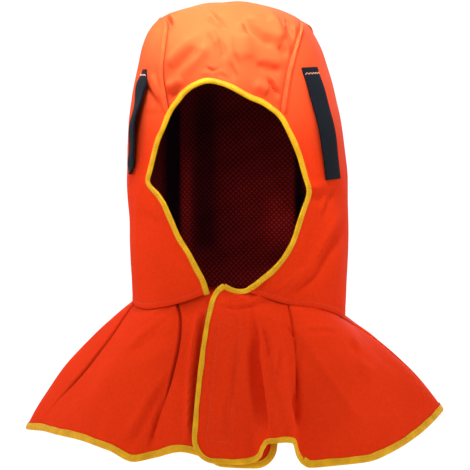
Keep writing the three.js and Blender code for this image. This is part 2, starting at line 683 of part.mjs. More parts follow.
function closureTape(name, { angle, hemAngle, from, to }, depth) {
  const grid = [];
  const normals = [];
  for (let i = 0; i < closureRows; i += 1) {
    const along = lerp(from, to, i / (closureRows - 1));
    const start = lerp(angle, hemAngle, i / (closureRows - 1));
    const width = closureWidth / capeDegrees(start, along);
    const angles = [0, 0.34, 0.67, 1].map((share) => start + width * share);
    grid.push(angles.map((at) => capePoint(at, along)));
    normals.push(angles.map((at) => capeNormal(at, along)));
  }
  return sheet(name, grid, normals, depth, closureThick, black);
}

// Assembly

const hood = new THREE.Group();
hood.name = "welding_hood";

const crownRows = crownGrid(crownStations(domeRows, backRows));
const crownFaces = crownNormals(crownRows);
const crownInner = crownGrid(crownStations(liningDome, liningBackRows));
hood.add(sheet("crown_panel", crownRows, crownFaces, 0, cloth, orange));
hood.add(sheet("lining_crown", crownInner, crownNormals(crownInner), liningDepth, lining, black));
const panels = {};
for (const [hand, name] of [[1, "left"], [-1, "right"]]) {
  const grid = sideGrid(hand, shellRows, false);
  const normals = sideNormals(grid, hand, shellRows, false);
  panels[hand] = { grid, normals };
  hood.add(sheet(`side_panel_${name}`, grid, normals, 0, cloth, orange));
  const inner = sideGrid(hand, liningRows, true);
  const innerNormals = sideNormals(inner, hand, liningRows, true);
  hood.add(sheet(`lining_${name}`, inner, innerNormals, liningDepth, lining, black));
  hood.add(strap(`strap_${name}`, hand));
}
hood.add(sheet("cape", capeGrid, capeNormals, 0, cloth, orange));

const browStations = crownColumns
  .map((_, j) => bandStation(crownRows, crownFaces, 0, j, 1, j))
  .slice(1, -1);
hood.add(binding("face_binding", [
  ...cheekStations(panels[-1]).toReversed(),
  seamStation(-1),
  ...browStations,
  seamStation(1),
  ...cheekStations(panels[1]),
], yellow));

const outerEdge = capeColumns[0];
const underEdge = capeColumns[capeColumns.length - 1];
const flapTop = capeColumns
  .filter(({ neckAngle, edge }) => neckAngle < flapTopEnd && edge > bindingWidth)
  .map(({ neckAngle }) => capeStation(neckAngle, 0, -90, 1))
  .toReversed();
hood.add(binding("front_binding", [
  ...flapTop,
  capeStation(outerEdge.neckAngle, 0, -45, 1),
  ...flapStations(capeColumns, 1),
  ...hemStations(outerEdge.hemAngle, hemJoint),
], yellow));
hood.add(binding("hem_binding", [
  ...hemStations(hemJoint + 0.5, underEdge.hemAngle),
  ...flapStations(capeColumns.toReversed(), -1).toReversed(),
], yellow));
hood.add(closureTape("closure_loop_tape", loopTape, cloth + closureGap.loop));
hood.add(closureTape("closure_hook_tape", hookTape, -closureGap.hook - closureThick));

export default hood;
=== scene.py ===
import math

import bpy
import numpy as np
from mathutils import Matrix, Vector


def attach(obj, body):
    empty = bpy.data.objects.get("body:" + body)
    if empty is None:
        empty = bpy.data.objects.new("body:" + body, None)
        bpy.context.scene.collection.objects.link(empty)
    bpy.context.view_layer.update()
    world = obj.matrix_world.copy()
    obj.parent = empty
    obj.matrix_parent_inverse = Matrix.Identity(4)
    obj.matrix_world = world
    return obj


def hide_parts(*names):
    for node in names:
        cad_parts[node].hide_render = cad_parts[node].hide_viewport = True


# Welding hood of orange cloth: panels, cape, mesh lining, edge tape, straps and stitching around the packed
# part. Shapes are worked out in millimetres, with drops measured down from the crown, and put into the meshes
# in metres.
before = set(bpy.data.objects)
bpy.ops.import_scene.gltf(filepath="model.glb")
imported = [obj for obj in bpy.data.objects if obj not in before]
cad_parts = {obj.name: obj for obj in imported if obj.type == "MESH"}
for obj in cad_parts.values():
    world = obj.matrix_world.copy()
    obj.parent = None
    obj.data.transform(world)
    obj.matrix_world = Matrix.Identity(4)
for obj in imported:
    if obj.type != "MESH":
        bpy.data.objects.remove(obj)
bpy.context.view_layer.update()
print("frame loaded:", len(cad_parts), "nodes")

# Camera at the photo's angle. One pixel of the 470 px frame is one millimetre at the hood's axis.
camera = {"azimuth": 8.0, "elevation": 5.0, "distance": 2.4,
          "height": -0.2285, "aside": -0.0035, "frame": 0.470}
seatRise = 3.5  # mm from the seat on the head up to drop zero


def cameraAxes():
    a, e = math.radians(camera["azimuth"]), math.radians(camera["elevation"])
    right = np.array([math.cos(a), math.sin(a), 0.0])
    back = np.array([math.sin(a) * math.cos(e), -math.cos(a) * math.cos(e), math.sin(e)])
    return right, np.cross(back, right), back, np.array([0, 0, camera["height"]]) + right * camera["aside"]


def placeCamera():
    back, target = cameraAxes()[2:]
    data = bpy.data.cameras.new("photo_camera")
    data.sensor_width = 36.0
    data.lens = data.sensor_width * camera["distance"] / camera["frame"]
    eye = bpy.data.objects.new("photo_camera", data)
    eye.location = Vector(target + back * camera["distance"])
    eye.rotation_mode = "QUATERNION"
    eye.rotation_quaternion = Vector(-back).to_track_quat("-Z", "Y")
    bpy.context.scene.collection.objects.link(eye)
    bpy.context.scene.camera = eye


placeCamera()


# Where points in mm show in the camera's frame, in mm right and down from its top left corner
def frontView(points):
    right, up, back, target = cameraAxes()
    seen = points / 1000 + np.array([0, 0, seatRise / 1000]) - target
    scale = camera["distance"] / (camera["distance"] - seen @ back) * 1000
    half = camera["frame"] * 500
    return np.stack([half + seen @ right * scale, half - seen @ up * scale], -1)


# Small maths

def smooth(value, low, high):
    t = np.clip((value - low) / (high - low), 0, 1)
    return t * t * (3 - 2 * t)


def mix(a, b, t):
    return a + (b - a) * t


def unit(v):
    return v / np.maximum(np.linalg.norm(v, axis=-1, keepdims=True), 1e-12)


# Bell-shaped share that falls off with distance
def bell(distance, width):
    return np.exp(-((distance / width) ** 2))


# The part of a direction that is square to another
def squareTo(v, axis):
    return v - axis * (v * axis).sum(-1, keepdims=True)


# Length of a line from its start to each of its points
def wayAlong(line):
    return np.concatenate([[0], np.cumsum(np.linalg.norm(np.diff(line, axis=0), axis=1))])


# Where a value lies in each row of a table whose rows rise: a whole number of steps and a part of one
def placeIn(rows, value):
    each = np.arange(len(rows))
    i = np.clip((rows < value[:, None]).sum(axis=1) - 1, 0, rows.shape[1] - 2)
    low, high = rows[each, i], rows[each, i + 1]
    return i + np.clip((value - low) / (high - low), 0, 1)


# Cubic through one column of a table that never overshoots: a slope is the harmonic mean of two secants
def curveThrough(table, of):
    rows = np.array(table, float)
    x, y = rows[:, 0], rows[:, of]
    width = np.diff(x)
    secant = np.diff(y) / width
    product = secant[:-1] * secant[1:]
    total = np.where(product > 0, secant[:-1] + secant[1:], 1)
    slope = np.concatenate([secant[:1], np.where(product > 0, 2 * product / total, 0), secant[-1:]])

    def at(value):
        value = np.clip(np.asarray(value, float), x[0], x[-1])
        i = np.clip(np.searchsorted(x, value) - 1, 0, len(x) - 2)
        t = (value - x[i]) / width[i]
        bend = width[i] * t * (1 - t)
        return mix(y[i], y[i + 1], t * t * (3 - 2 * t)) + bend * ((1 - t) * slope[i] - t * slope[i + 1])

    return at


# Normals of a grid: cross product of its two gradients, turned to the side that a point is on
def gridNormals(grid, inside):
    down, along = np.gradient(grid, axis=0), np.gradient(grid, axis=1)
    normals = unit(np.cross(down, along))
    return normals * np.sign(((grid - inside) * normals).sum(-1).mean())


# Length from a grid's first row, or its first column, to each of its points
def gridLengths(grid, axis):
    first = grid[:1] if axis == 0 else grid[:, :1]
    return np.linalg.norm(np.diff(grid, axis=axis, prepend=first), axis=-1).cumsum(axis=axis)


# Lengths along the rows and the columns of a grid, in metres, for the weave
def clothLengths(grid):
    u, v = gridLengths(grid, 1), gridLengths(grid, 0)
    return np.stack([u - u[:, u.shape[1] // 2, None], v], -1) / 1000


creaseForm = {"awayFromLight": (0.25, 0.97), "step": 1.4, "ends": (-0.12, 0.22),
              "facing": (0.02, 0.3), "slant": 0.4}


# Rise of creases drawn on the front view. Each has a width, a rise, a fall and a line of points. Across the
# line the rise is a bell, and the fall is a step from high on the side towards the light, up and to the left,
# to low on the other. Both fade at the line's ends, act only on cloth that faces the camera, and grow where
# it is seen at a slant.
def creaseRise(points, normals, creases):
    place = frontView(points)
    facing = normals @ cameraAxes()[2]
    lightRight, lightDown = creaseForm["awayFromLight"]
    total = np.zeros(points.shape[:-1])
    for width, rise, fall, line in creases:
        line = np.array(line, float)
        starts = wayAlong(line)
        near = np.full(total.shape, np.inf)
        along, past = np.zeros(total.shape), np.zeros(total.shape)
        whole = line[-1] - line[0]
        side = 1 if whole[0] * lightDown > whole[1] * lightRight else -1
        for a, b, step, start in zip(line[:-1], line[1:], np.diff(starts), starts):
            ahead = (b - a) / step
            aside = side * np.array([-ahead[1], ahead[0]])
            t = np.clip((place - a) @ ahead / step, 0, 1)
            far = ((place - a - t[..., None] * (b - a)) ** 2).sum(-1)
            along = np.where(far < near, (start + t * step) / starts[-1], along)
            past = np.where(far < near, (place - a) @ aside, past)
            near = np.minimum(near, far)
        ends = smooth(along, *creaseForm["ends"]) * smooth(1 - along, *creaseForm["ends"])
        total += (rise - fall * creaseForm["step"] * past / width) * np.exp(-near / width**2) * ends
    return total * smooth(facing, *creaseForm["facing"]) / np.clip(facing, creaseForm["slant"], 1)


rippleForm = {"shortest": 22.0, "longest": 70.0, "waves": 7, "turn": 6.28,
              "back": (0.15, 0.5), "moreAtBack": 2.0}


# Slow unevenness of worn cloth: a few sine waves across the piece, the same each run, three times as high on
# the back
def ripple(points, normals, size, seed):
    rng = np.random.default_rng(seed)
    total = np.zeros(points.shape[:-1])
    longest = rippleForm["longest"]
    for wave in np.linspace(rippleForm["shortest"], longest, rippleForm["waves"]):
        direction = unit(rng.normal(size=3))
        start = rng.uniform(0, rippleForm["turn"])
        total += np.sin(points @ direction * (2 * math.pi / wave) + start) * wave / longest
    atBack = smooth(-(normals @ cameraAxes()[2]), *rippleForm["back"])
    return size * (1 + rippleForm["moreAtBack"] * atBack) * total / 2


# Meshes

sharpFrom = 60  # degrees between faces from which an edge shows as sharp


def makeMesh(name, points, faces, uv=None, values=None):
    mesh = bpy.data.meshes.new(name)
    points = points.reshape(-1, 3) / 1000 + np.array([0, 0, seatRise / 1000])
    loops = np.concatenate([f.ravel() for f in faces]).astype(np.int32)
    sizes = np.concatenate([np.full(len(f), f.shape[1]) for f in faces])
    mesh.vertices.add(len(points))
    mesh.vertices.foreach_set("co", points.astype(np.float32).ravel())
    mesh.loops.add(len(loops))
    mesh.loops.foreach_set("vertex_index", loops)
    mesh.polygons.add(len(sizes))
    mesh.polygons.foreach_set("loop_start", (np.cumsum(sizes) - sizes).astype(np.int32))
    mesh.polygons.foreach_set("use_smooth", np.ones(len(sizes), bool))
    if uv is not None:
        corners = uv.reshape(-1, 2)[loops].astype(np.float32)
        mesh.uv_layers.new(name="cloth").data.foreach_set("uv", corners.ravel())
    for key, value in (values or {}).items():
        held = mesh.attributes.new(key, "FLOAT", "POINT")
        held.data.foreach_set("value", value.astype(np.float32).ravel())
    mesh.update(calc_edges=True)
    mesh.validate()
    mesh.set_sharp_from_angle(angle=math.radians(sharpFrom))
    made = bpy.data.objects.new(name, mesh)
    bpy.context.scene.collection.objects.link(made)
    return made


# Sign of a closed mesh's volume, so that its faces can be turned outwards
def turnedOut(points, faces):
    p = points.reshape(-1, 3)
    total = 0.0
    for f in faces:
        for k in range(1, f.shape[1] - 1):
            total += (p[f[:, 0]] * np.cross(p[f[:, k]], p[f[:, k + 1]])).sum()
    return faces if total > 0 else [f[:, ::-1] for f in faces]


# Four-cornered faces, from an array for each corner
def quads(*corners):
    return np.stack(corners, -1).reshape(-1, 4)


# Cloth of one thickness: the grid is its outer face, a second grid lies under it, and a rim joins them
def clothSheet(name, grid, normals, thickness, values=None, lengths=None):
    rows, columns = grid.shape[:2]
    points = np.stack([grid, grid - normals * thickness])
    index = np.arange(2 * rows * columns).reshape(2, rows, columns)
    outer, inner = index
    faces = [quads(outer[:-1, :-1], outer[1:, :-1], outer[1:, 1:], outer[:-1, 1:]),
             quads(inner[:-1, :-1], inner[:-1, 1:], inner[1:, 1:], inner[1:, :-1])]
    for a, b, turned in ((outer[0], inner[0], False), (outer[-1], inner[-1], True),
                         (outer[:, 0], inner[:, 0], True), (outer[:, -1], inner[:, -1], False)):
        rim = quads(a[:-1], a[1:], b[1:], b[:-1])
        faces.append(rim[:, ::-1] if turned else rim)
    uv = np.tile(clothLengths(grid) if lengths is None else lengths, (2, 1, 1, 1))
    both = {key: np.tile(value, (2, 1, 1)) for key, value in (values or {}).items()}
    return makeMesh(name, points, turnedOut(points, faces), uv, both)


# A closed profile carried along a path: a ring is the path's point plus the profile along two directions
def sweptBand(name, path, aside, over, profile):
    n, m = len(path), profile.shape[-2]
    profile = np.broadcast_to(profile, (n, m, 2))
    points = path[:, None] + aside[:, None] * profile[..., :1] + over[:, None] * profile[..., 1:]
    index = np.arange(n * m).reshape(n, m)
    ahead = np.roll(index, -1, axis=1)
    faces = [quads(index[:-1], ahead[:-1], ahead[1:], index[1:]), index[:1, ::-1], index[-1:]]
    uv = np.stack(np.broadcast_arrays(wayAlong(path)[:, None], wayAlong(profile[0])[None]), -1) / 1000
    return makeMesh(name, points, turnedOut(points, faces), uv)


# A line of points again, evenly spaced, with anything that goes along it
def evenly(spacing, path, *others):
    along = wayAlong(path)
    at = np.linspace(0, along[-1], max(3, int(round(along[-1] / spacing)) + 1))
    return [np.stack([np.interp(at, along, column) for column in v.T], -1) for v in (path, *others)]


# Running mean along a line, with the ends held
def softened(v, half):
    padded = np.concatenate([np.repeat(v[:1], half, 0), v, np.repeat(v[-1:], half, 0)])
    total = np.cumsum(np.concatenate([np.zeros((1, v.shape[1])), padded]), axis=0)
    return (total[2 * half + 1:] - total[:-2 * half - 1]) / (2 * half + 1)


# Point of a grid between its rows and columns
def between(grid, i, j):
    i, j = np.clip(i, 0, grid.shape[0] - 1.001), np.clip(j, 0, grid.shape[1] - 1.001)
    a, b = i.astype(int), j.astype(int)
    s, t = (i - a)[..., None], (j - b)[..., None]
    return mix(mix(grid[a, b], grid[a, b + 1], t), mix(grid[a + 1, b], grid[a + 1, b + 1], t), s)


# Rings of one stitch, each with its way along and its girth; rise over the cloth and dive at the ends
stitchForm = {"rings": [(-1.0, 0.25), (-0.85, 0.7), (-0.4, 1.0), (0.0, 1.0), (0.4, 1.0), (0.85, 0.7),
                        (1.0, 0.25)],
              "corners": 6, "rise": 0.35, "dive": 0.9}


# Lockstitches along a line: each is a short thread that lies on the cloth, and thins and dives at its ends
def stitchRow(name, path, normals, stitch):
    path, normals = evenly(stitch["pitch"], path, normals)
    middle, normals = (path[1:] + path[:-1]) / 2, unit(normals[1:] + normals[:-1])
    ahead = unit(path[1:] - path[:-1])
    aside = unit(np.cross(normals, ahead))
    around = np.linspace(0, 2 * math.pi, stitchForm["corners"], endpoint=False)
    reach, girth = np.array(stitchForm["rings"]).T
    girth = girth * stitch["thick"] / 2
    lift = stitch["thick"] * (stitchForm["rise"] - stitchForm["dive"] * reach**4)
    x = np.repeat(reach * stitch["length"] / 2, len(around))
    y = np.outer(girth, np.cos(around)).ravel()
    z = (np.outer(girth, np.sin(around)) + lift[:, None]).ravel()
    points = middle[:, None]
    for axis, offset in ((ahead, x), (aside, y), (normals, z)):
        points = points + axis[:, None] * offset[:, None]
    ring = np.arange(len(x)).reshape(len(reach), len(around))
    turn = np.roll(ring, -1, axis=1)
    first = (np.arange(len(middle)) * len(x))[:, None, None]
    one = (quads(ring[:-1], turn[:-1], turn[1:], ring[1:]), ring[:1, ::-1], ring[-1:])
    faces = [(part + first).reshape(-1, part.shape[1]) for part in one]
    return makeMesh(name, points, turnedOut(points, faces))


# Materials

def linear(code):
    s = np.array([int(code[i:i + 2], 16) for i in (1, 3, 5)]) / 255
    return (*np.where(s <= 0.04045, s / 12.92, ((s + 0.055) / 1.055) ** 2.4), 1.0)


# Sets a node's sockets, and links those that are given another node's output
def setSockets(tree, node, sockets):
    for key, value in sockets.items():
        if isinstance(value, bpy.types.NodeSocket):
            tree.links.new(value, node.inputs[key])
        else:
            node.inputs[key].default_value = value


def addNode(tree, kind, sockets, **settings):
    node = tree.nodes.new(kind)
    for key, value in settings.items():
        setattr(node, key, value)
    setSockets(tree, node, sockets)
    return node.outputs


def newMaterial(name):
    material = bpy.data.materials.new(name)
    material.use_nodes = True
    tree = material.node_tree
    return material, tree, tree.nodes["Principled BSDF"]


def objectPlace(tree):
    return addNode(tree, "ShaderNodeTexCoord", {})["Object"]


def clothPlace(tree):
    return addNode(tree, "ShaderNodeUVMap", {}, uv_map="cloth")["UV"]


# Value that a piece holds for each of its points
def pointValue(tree, name):
    return addNode(tree, "ShaderNodeAttribute", {}, attribute_name=name)["Fac"]


# Cloudy share in the object's own place, with its scale in clouds to the metre
def noise(tree, scale, detail):
    sockets = {"Vector": objectPlace(tree), "Scale": scale, "Detail": detail}
    return addNode(tree, "ShaderNodeTexNoise", sockets)["Fac"]


# Bands across the cloth, one to each pitch in mm
def ribs(tree, place, pitch, distortion, detail):
    scale = 1000 / pitch * math.pi / 10
    sockets = {"Vector": place, "Scale": scale, "Distortion": distortion, "Detail": detail}
    return addNode(tree, "ShaderNodeTexWave", sockets)["Fac"]


# Share that goes from 0 to 1 between two values
def ranged(tree, value, low, high, **settings):
    sockets = {"Value": value, "From Min": low, "From Max": high}
    return addNode(tree, "ShaderNodeMapRange", sockets, **settings)[0]


def calculated(tree, operation, first, second):
    return addNode(tree, "ShaderNodeMath", {0: first, 1: second}, operation=operation)[0]


# One colour going over into another by a share; each is a code or another node's output
def blended(tree, share, first, second):
    low, high = (linear(colour) if isinstance(colour, str) else colour for colour in (first, second))
    return addNode(tree, "ShaderNodeMix", {"Factor": share, 6: low, 7: high}, data_type="RGBA")[2]


def raised(tree, height, strength, distance, **settings):
    sockets = {"Height": height, "Strength": strength, "Distance": distance}
    return addNode(tree, "ShaderNodeBump", sockets, **settings)[0]


# Flame-resistant cotton drill, piece dyed: a steep twill that gives a soft, slightly napped face with broad,
# weak highlights. Towards the top of the hood it is painted a paler orange, a painted sheen of the light from
# above. Real ribs are 0.5 mm apart; they are drawn at 1.4 mm so that they show. Painted shade in the seams
# and tucks draws them as thin dark lines.
orangeDrill = {"colour": "#e43611", "deep": "#d8310e", "paintedSheen": "#e64d25", "seamShade": "#7c1606",
               "sheen": "#ffc8a0", "sheenByHeight": (-0.17, -0.06), "twill": 1.4, "slant": 27.0, "slub": 3.0,
               "cloud": 55.0}


def makeOrangeDrill():
    material, tree, shader = newMaterial("orange_cotton_drill")
    slub = noise(tree, 1000 / orangeDrill["slub"], 2.0)
    uneven = calculated(tree, "ADD", noise(tree, 1000 / orangeDrill["cloud"], 3.0), slub)
    colour = blended(tree, ranged(tree, uneven, 0.7, 1.3), orangeDrill["deep"], orangeDrill["colour"])
    # Painted sheen: the cloth is painted paler towards the top of the hood, where the light from above falls
    height = addNode(tree, "ShaderNodeSeparateXYZ", {"Vector": objectPlace(tree)})["Z"]
    sheenByHeight = ranged(tree, height, *orangeDrill["sheenByHeight"], interpolation_type="SMOOTHSTEP")
    colour = blended(tree, sheenByHeight, colour, orangeDrill["paintedSheen"])
    # Painted shade in the seams and tucks, held in the pieces' points, draws them as thin dark lines
    colour = blended(tree, pointValue(tree, "seamShade"), colour, orangeDrill["seamShade"])
    turned = {"Vector": clothPlace(tree), "Rotation": (0, 0, math.radians(orangeDrill["slant"]))}
    twill = ribs(tree, addNode(tree, "ShaderNodeMapping", turned)[0], orangeDrill["twill"], 0.6, 1.0)
    bump = raised(tree, calculated(tree, "ADD", twill, slub), 0.1, 0.0004)
    setSockets(tree, shader, {"Base Color": colour, "Normal": bump, "Roughness": 0.66,
                              "Specular IOR Level": 0.012, "Sheen Weight": 0.002, "Sheen Roughness": 0.45,
                              "Sheen Tint": linear(orangeDrill["sheen"])})
    return material


# Knitted polyester mesh, black: round holes in staggered rows let the cloth behind show as dark red dots
meshKnit = {"yarn": "#150913", "hole": "#d0352f", "pitch": 3.8, "dot": 0.28, "soft": 0.08, "between": 0.32}


def makeMeshKnit():
    material, tree, shader = newMaterial("black_mesh_knit")
    turned = {"Vector": clothPlace(tree), "Rotation": (0, 0, math.radians(45))}
    lattice = addNode(tree, "ShaderNodeMapping", turned)[0]
    cells = {"Vector": lattice, "Randomness": 0.06, "Scale": 1000 / meshKnit["pitch"]}
    middle = addNode(tree, "ShaderNodeTexVoronoi", cells, voronoi_dimensions="2D")["Distance"]
    edges = {"Value": middle, "From Min": meshKnit["dot"] + meshKnit["soft"],
             "From Max": meshKnit["dot"] - meshKnit["soft"], "To Min": meshKnit["between"]}
    dot = addNode(tree, "ShaderNodeMapRange", edges)[0]
    # The red in the holes goes up and down with the painted light and shade held in the lining's points
    shown = calculated(tree, "MULTIPLY", dot, pointValue(tree, "paintedLight"))
    colour = blended(tree, shown, meshKnit["yarn"], meshKnit["hole"])
    bump = raised(tree, dot, 0.5, 0.0006, invert=True)
    setSockets(tree, shader, {"Base Color": colour, "Normal": bump, "Roughness": 0.9,
                              "Specular IOR Level": 0.03})
    return material


# Cotton bias tape, woven plain and pressed: fine cross ribs and soft clouds of deeper yellow, a dull shine
yellowTape = {"colour": "#e3ab16", "deep": "#cb900c", "rib": 1.6, "clouds": 90.0}


def makeYellowTape():
    material, tree, shader = newMaterial("yellow_bias_tape")
    share = ranged(tree, noise(tree, yellowTape["clouds"], 4.0), 0.3, 0.7)
    colour = blended(tree, share, yellowTape["deep"], yellowTape["colour"])
    bump = raised(tree, ribs(tree, clothPlace(tree), yellowTape["rib"], 1.5, 2.0), 0.25, 0.0003)
    setSockets(tree, shader, {"Base Color": colour, "Normal": bump, "Roughness": 0.6,
                              "Specular IOR Level": 0.12})
    return material


# Brushed nylon strap, navy: a dense short pile that takes light in a dull, slightly blue way
navyPile = {"colour": "#0f1115", "light": "#191c22", "sheen": "#8a97b0", "pile": 1.1}


def makeNavyPile():
    material, tree, shader = newMaterial("navy_brushed_nylon")
    pile = noise(tree, 1000 / navyPile["pile"], 3.0)
    colour = blended(tree, ranged(tree, pile, 0.35, 0.7), navyPile["colour"], navyPile["light"])
    bump = raised(tree, pile, 0.5, 0.0005)
    setSockets(tree, shader, {"Base Color": colour, "Normal": bump, "Roughness": 0.85,
                              "Specular IOR Level": 0.08, "Sheen Weight": 0.01,
                              "Sheen Tint": linear(navyPile["sheen"])})
    return material


# Nylon hook-and-loop tape, black: a coarse nap of hooks or loops, about a millimetre apart
blackTape = {"colour": "#0d0d10", "light": "#1c1c20", "hook": 1.2}


def makeBlackTape():
    material, tree, shader = newMaterial("black_hook_and_loop")
    cells = {"Vector": objectPlace(tree), "Scale": 1000 / blackTape["hook"]}
    hooks = addNode(tree, "ShaderNodeTexVoronoi", cells)["Distance"]
    colour = blended(tree, hooks, blackTape["light"], blackTape["colour"])
    bump = raised(tree, hooks, 0.7, 0.0006)
    setSockets(tree, shader, {"Base Color": colour, "Normal": bump, "Roughness": 0.7})
    return material


# Spun polyester thread: fine plies, seen as small darker and lighter flecks along each stitch
threadPlies = {"scale": 1400.0, "dark": 0.75}


def makeThread(name, code):
    material, tree, shader = newMaterial(name)
    light = linear(code)
    dark = (*(np.array(light[:3]) * threadPlies["dark"]), 1.0)
    colour = blended(tree, noise(tree, threadPlies["scale"], 1.0), dark, light)
    setSockets(tree, shader, {"Base Color": colour, "Roughness": 0.55, "Specular IOR Level": 0.35})
    return material


finishes = {"drill": makeOrangeDrill(), "knit": makeMeshKnit(), "tape": makeYellowTape(),
            "pile": makeNavyPile(), "hooks": makeBlackTape(),
            "orangeThread": makeThread("orange_thread", "#e2481e"),
            "yellowThread": makeThread("yellow_thread", "#f0bc38"),
            "paleThread": makeThread("pale_orange_thread", "#e8a080")}
print("materials made:", len(finishes))


# A finished piece rides on the part's one body, and stands for its CAD node where it has one
def dressed(piece, finish, node=None):
    piece.data.materials.append(finishes[finish])
    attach(piece, "root")
    if node:
        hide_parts(node)
    return piece


# Hood: sections of a squared oval, two seams up from the brow corners, a face edge and a sloping neck seam
hood = {
    "squareness": 2.4, "cloth": 1.2, "apex": {1: 18.5, -1: 15.3}, "browCorner": 105.0, "browTop": 80.5,
    "browReach": 111.0, "backCentre": 96.0, "crownArch": 2.2, "profileArch": 0.91, "firstTurn": 0.03,
    "neckLevel": 279.0, "neckBlend": 205.0, "browPower": 4, "dentPower": 6,
    # drop; half width at the right ear and at the left; reach to the face and to the back
    "sections": [(15, 77, 59, 66, 70), (18.5, 79.5, 62.5, 73, 78), (24, 84, 68, 82, 88),
                 (32, 89, 73.5, 92, 97), (48, 95, 81.5, 103, 107), (64, 98.5, 87, 109, 113),
                 (80, 102, 92, 110, 117), (97, 104.5, 96, 110, 120), (121, 107.5, 101.5, 110, 123),
                 (145, 109, 104.8, 109, 124), (177, 109.5, 108, 108, 124), (225, 107, 109, 105, 119),
                 (257, 105.5, 107.5, 102, 112), (312, 105, 105, 98, 103)],
    # drop; degrees from the right ear to the seam, and from the left
    "seams": [(15, 7, 2), (16, 22, 3), (18, 35.5, 5), (21, 42, 16), (24.5, 46.5, 25), (30, 50.5, 35),
              (37, 53, 42.5), (51, 56, 51), (70, 57.5, 56.5), (105, 61, 60), (160, 58.5, 58.5),
              (312, 57, 57)],
    # drop; half opening on the right and on the left
    "face": [(105, 53.5, 54.5), (119, 57.2, 58.5), (134, 64.2, 64.8), (149, 69, 70.6), (164, 73.5, 74.6),
             (173, 76, 77), (186, 64, 79.3), (194, 58.4, 76.2), (208, 51.8, 71.6), (223, 44, 67),
             (238, 33.3, 58.2), (253, 25.2, 44.6), (266, 19, 31.5), (279, 15.2, 25)],
    # way across the brow from the right seam to the left; drop of the face edge
    "brow": [(-1, 105), (-0.8, 96.3), (-0.66, 88.2), (-0.5, 82.6), (-0.28, 80.5), (0, 81.7), (0.35, 88.2),
             (0.6, 95), (0.82, 101.5), (1, 105)],
    # degrees from the face side towards the left; drop of the neck seam
    "neck": [(-180, 306), (-90, 298.5), (-75, 298.3), (-62, 299.6), (-50, 299.5), (-40, 297), (-28, 292),
             (-20, 287.5), (-10, 281), (0, 278.5), (9, 278), (15, 279.5), (21, 283), (30, 288.5), (36, 291.5),
             (50, 295.8), (70, 305), (90, 314), (180, 306)],
    # hollows and swells: middle x, y, drop, spread and rise
    "dents": [(-4, -92, 32, 13, -2.6), (20, -95, 38, 16, 1.8), (-13, -104, 60, 13, -2.4),
              (50, -96, 76, 13, -2.4), (-38, -98, 62, 15, 1.6), (90, -68, 192, 15, -2.0),
              (78, -82, 222, 15, -2.2), (62, -88, 252, 15, -1.6), (98, -50, 250, 22, 2.0),
              (-86, -66, 250, 22, 1.6), (-72, -84, 215, 16, -1.6), (20, 118, 200, 26, -2.4),
              (-24, 116, 245, 24, 2.0)],
}
handWords = {1: "left", -1: "right"}
earReach, seamTurn, faceHalf = ({1: curveThrough(hood[name], 2), -1: curveThrough(hood[name], 1)}
                                for name in ("sections", "seams", "face"))
faceReach, backReach = curveThrough(hood["sections"], 3), curveThrough(hood["sections"], 4)
browDrop, neckCurve = curveThrough(hood["brow"], 1), curveThrough(hood["neck"], 1)
headMiddle = np.array([0.0, 5.0, -120.0])


def wrapped(angle):
    return (angle + 540) % 360 - 180


def neckDrop(angle):
    return neckCurve(wrapped(angle))


# Distance of a section from the axis: a superellipse through the ear, face and back reaches
def sectionRadius(drop, turn, hand):
    across = np.abs(np.cos(np.radians(turn))) / earReach[hand](drop)
    along = np.abs(np.sin(np.radians(turn))) / np.where(turn > 0, faceReach(drop), backReach(drop))
    return (across ** hood["squareness"] + along ** hood["squareness"]) ** (-1 / hood["squareness"])


# Degrees from the ear to the face edge, where the section has the edge's half width
def faceTurn(drop, hand):
    n, half = hood["squareness"], faceHalf[hand](drop)
    reach = faceReach(drop) * (1 - (half / earReach[hand](drop)) ** n) ** (1 / n)
    return np.degrees(np.arctan2(reach, half))


# Points moved along the line from the middle of the head by bell-shaped hollows and swells
def dented(points):
    middle = np.broadcast_to(headMiddle, points.shape).copy()
    middle[..., 2] = np.minimum(points[..., 2], headMiddle[2])
    rise = np.zeros(points.shape[:-1])
    for x, y, drop, spread, out in hood["dents"]:
        rise += out * np.exp(-((points - np.array([x, y, -drop])) ** 2).sum(-1) / (2 * spread**2))
    return points + unit(points - middle) * rise[..., None]


# Side panel's point at a level and an angle from the ear to the face; low levels slope with the neck seam
def sidePoints(level, turn, hand):
    level, turn = np.broadcast_arrays(np.asarray(level, float), np.asarray(turn, float))
    r = sectionRadius(level, turn, hand)
    slope = smooth(level, hood["neckBlend"], hood["neckLevel"])
    drop = level + (neckDrop(hand * (90 - turn)) - hood["neckLevel"]) * slope
    return dented(np.stack([hand * r * np.cos(np.radians(turn)), -r * np.sin(np.radians(turn)), -drop], -1))


def domeRise(turn):
    return 1 - np.cos(np.radians(90 * np.asarray(turn, float))) ** hood["profileArch"]


def domeReach(turn):
    return np.sin(np.radians(90 * np.asarray(turn, float))) ** hood["profileArch"]


def domeLevel(turn, hand):
    return mix(hood["apex"][hand], hood["browCorner"], domeRise(turn))


# Points up a seam over the dome, in front of the ear where the way is 1 and behind it where the way is -1
def seamPoints(turn, hand, way):
    level = domeLevel(turn, hand)
    return sidePoints(level, way * seamTurn[hand](level), hand)


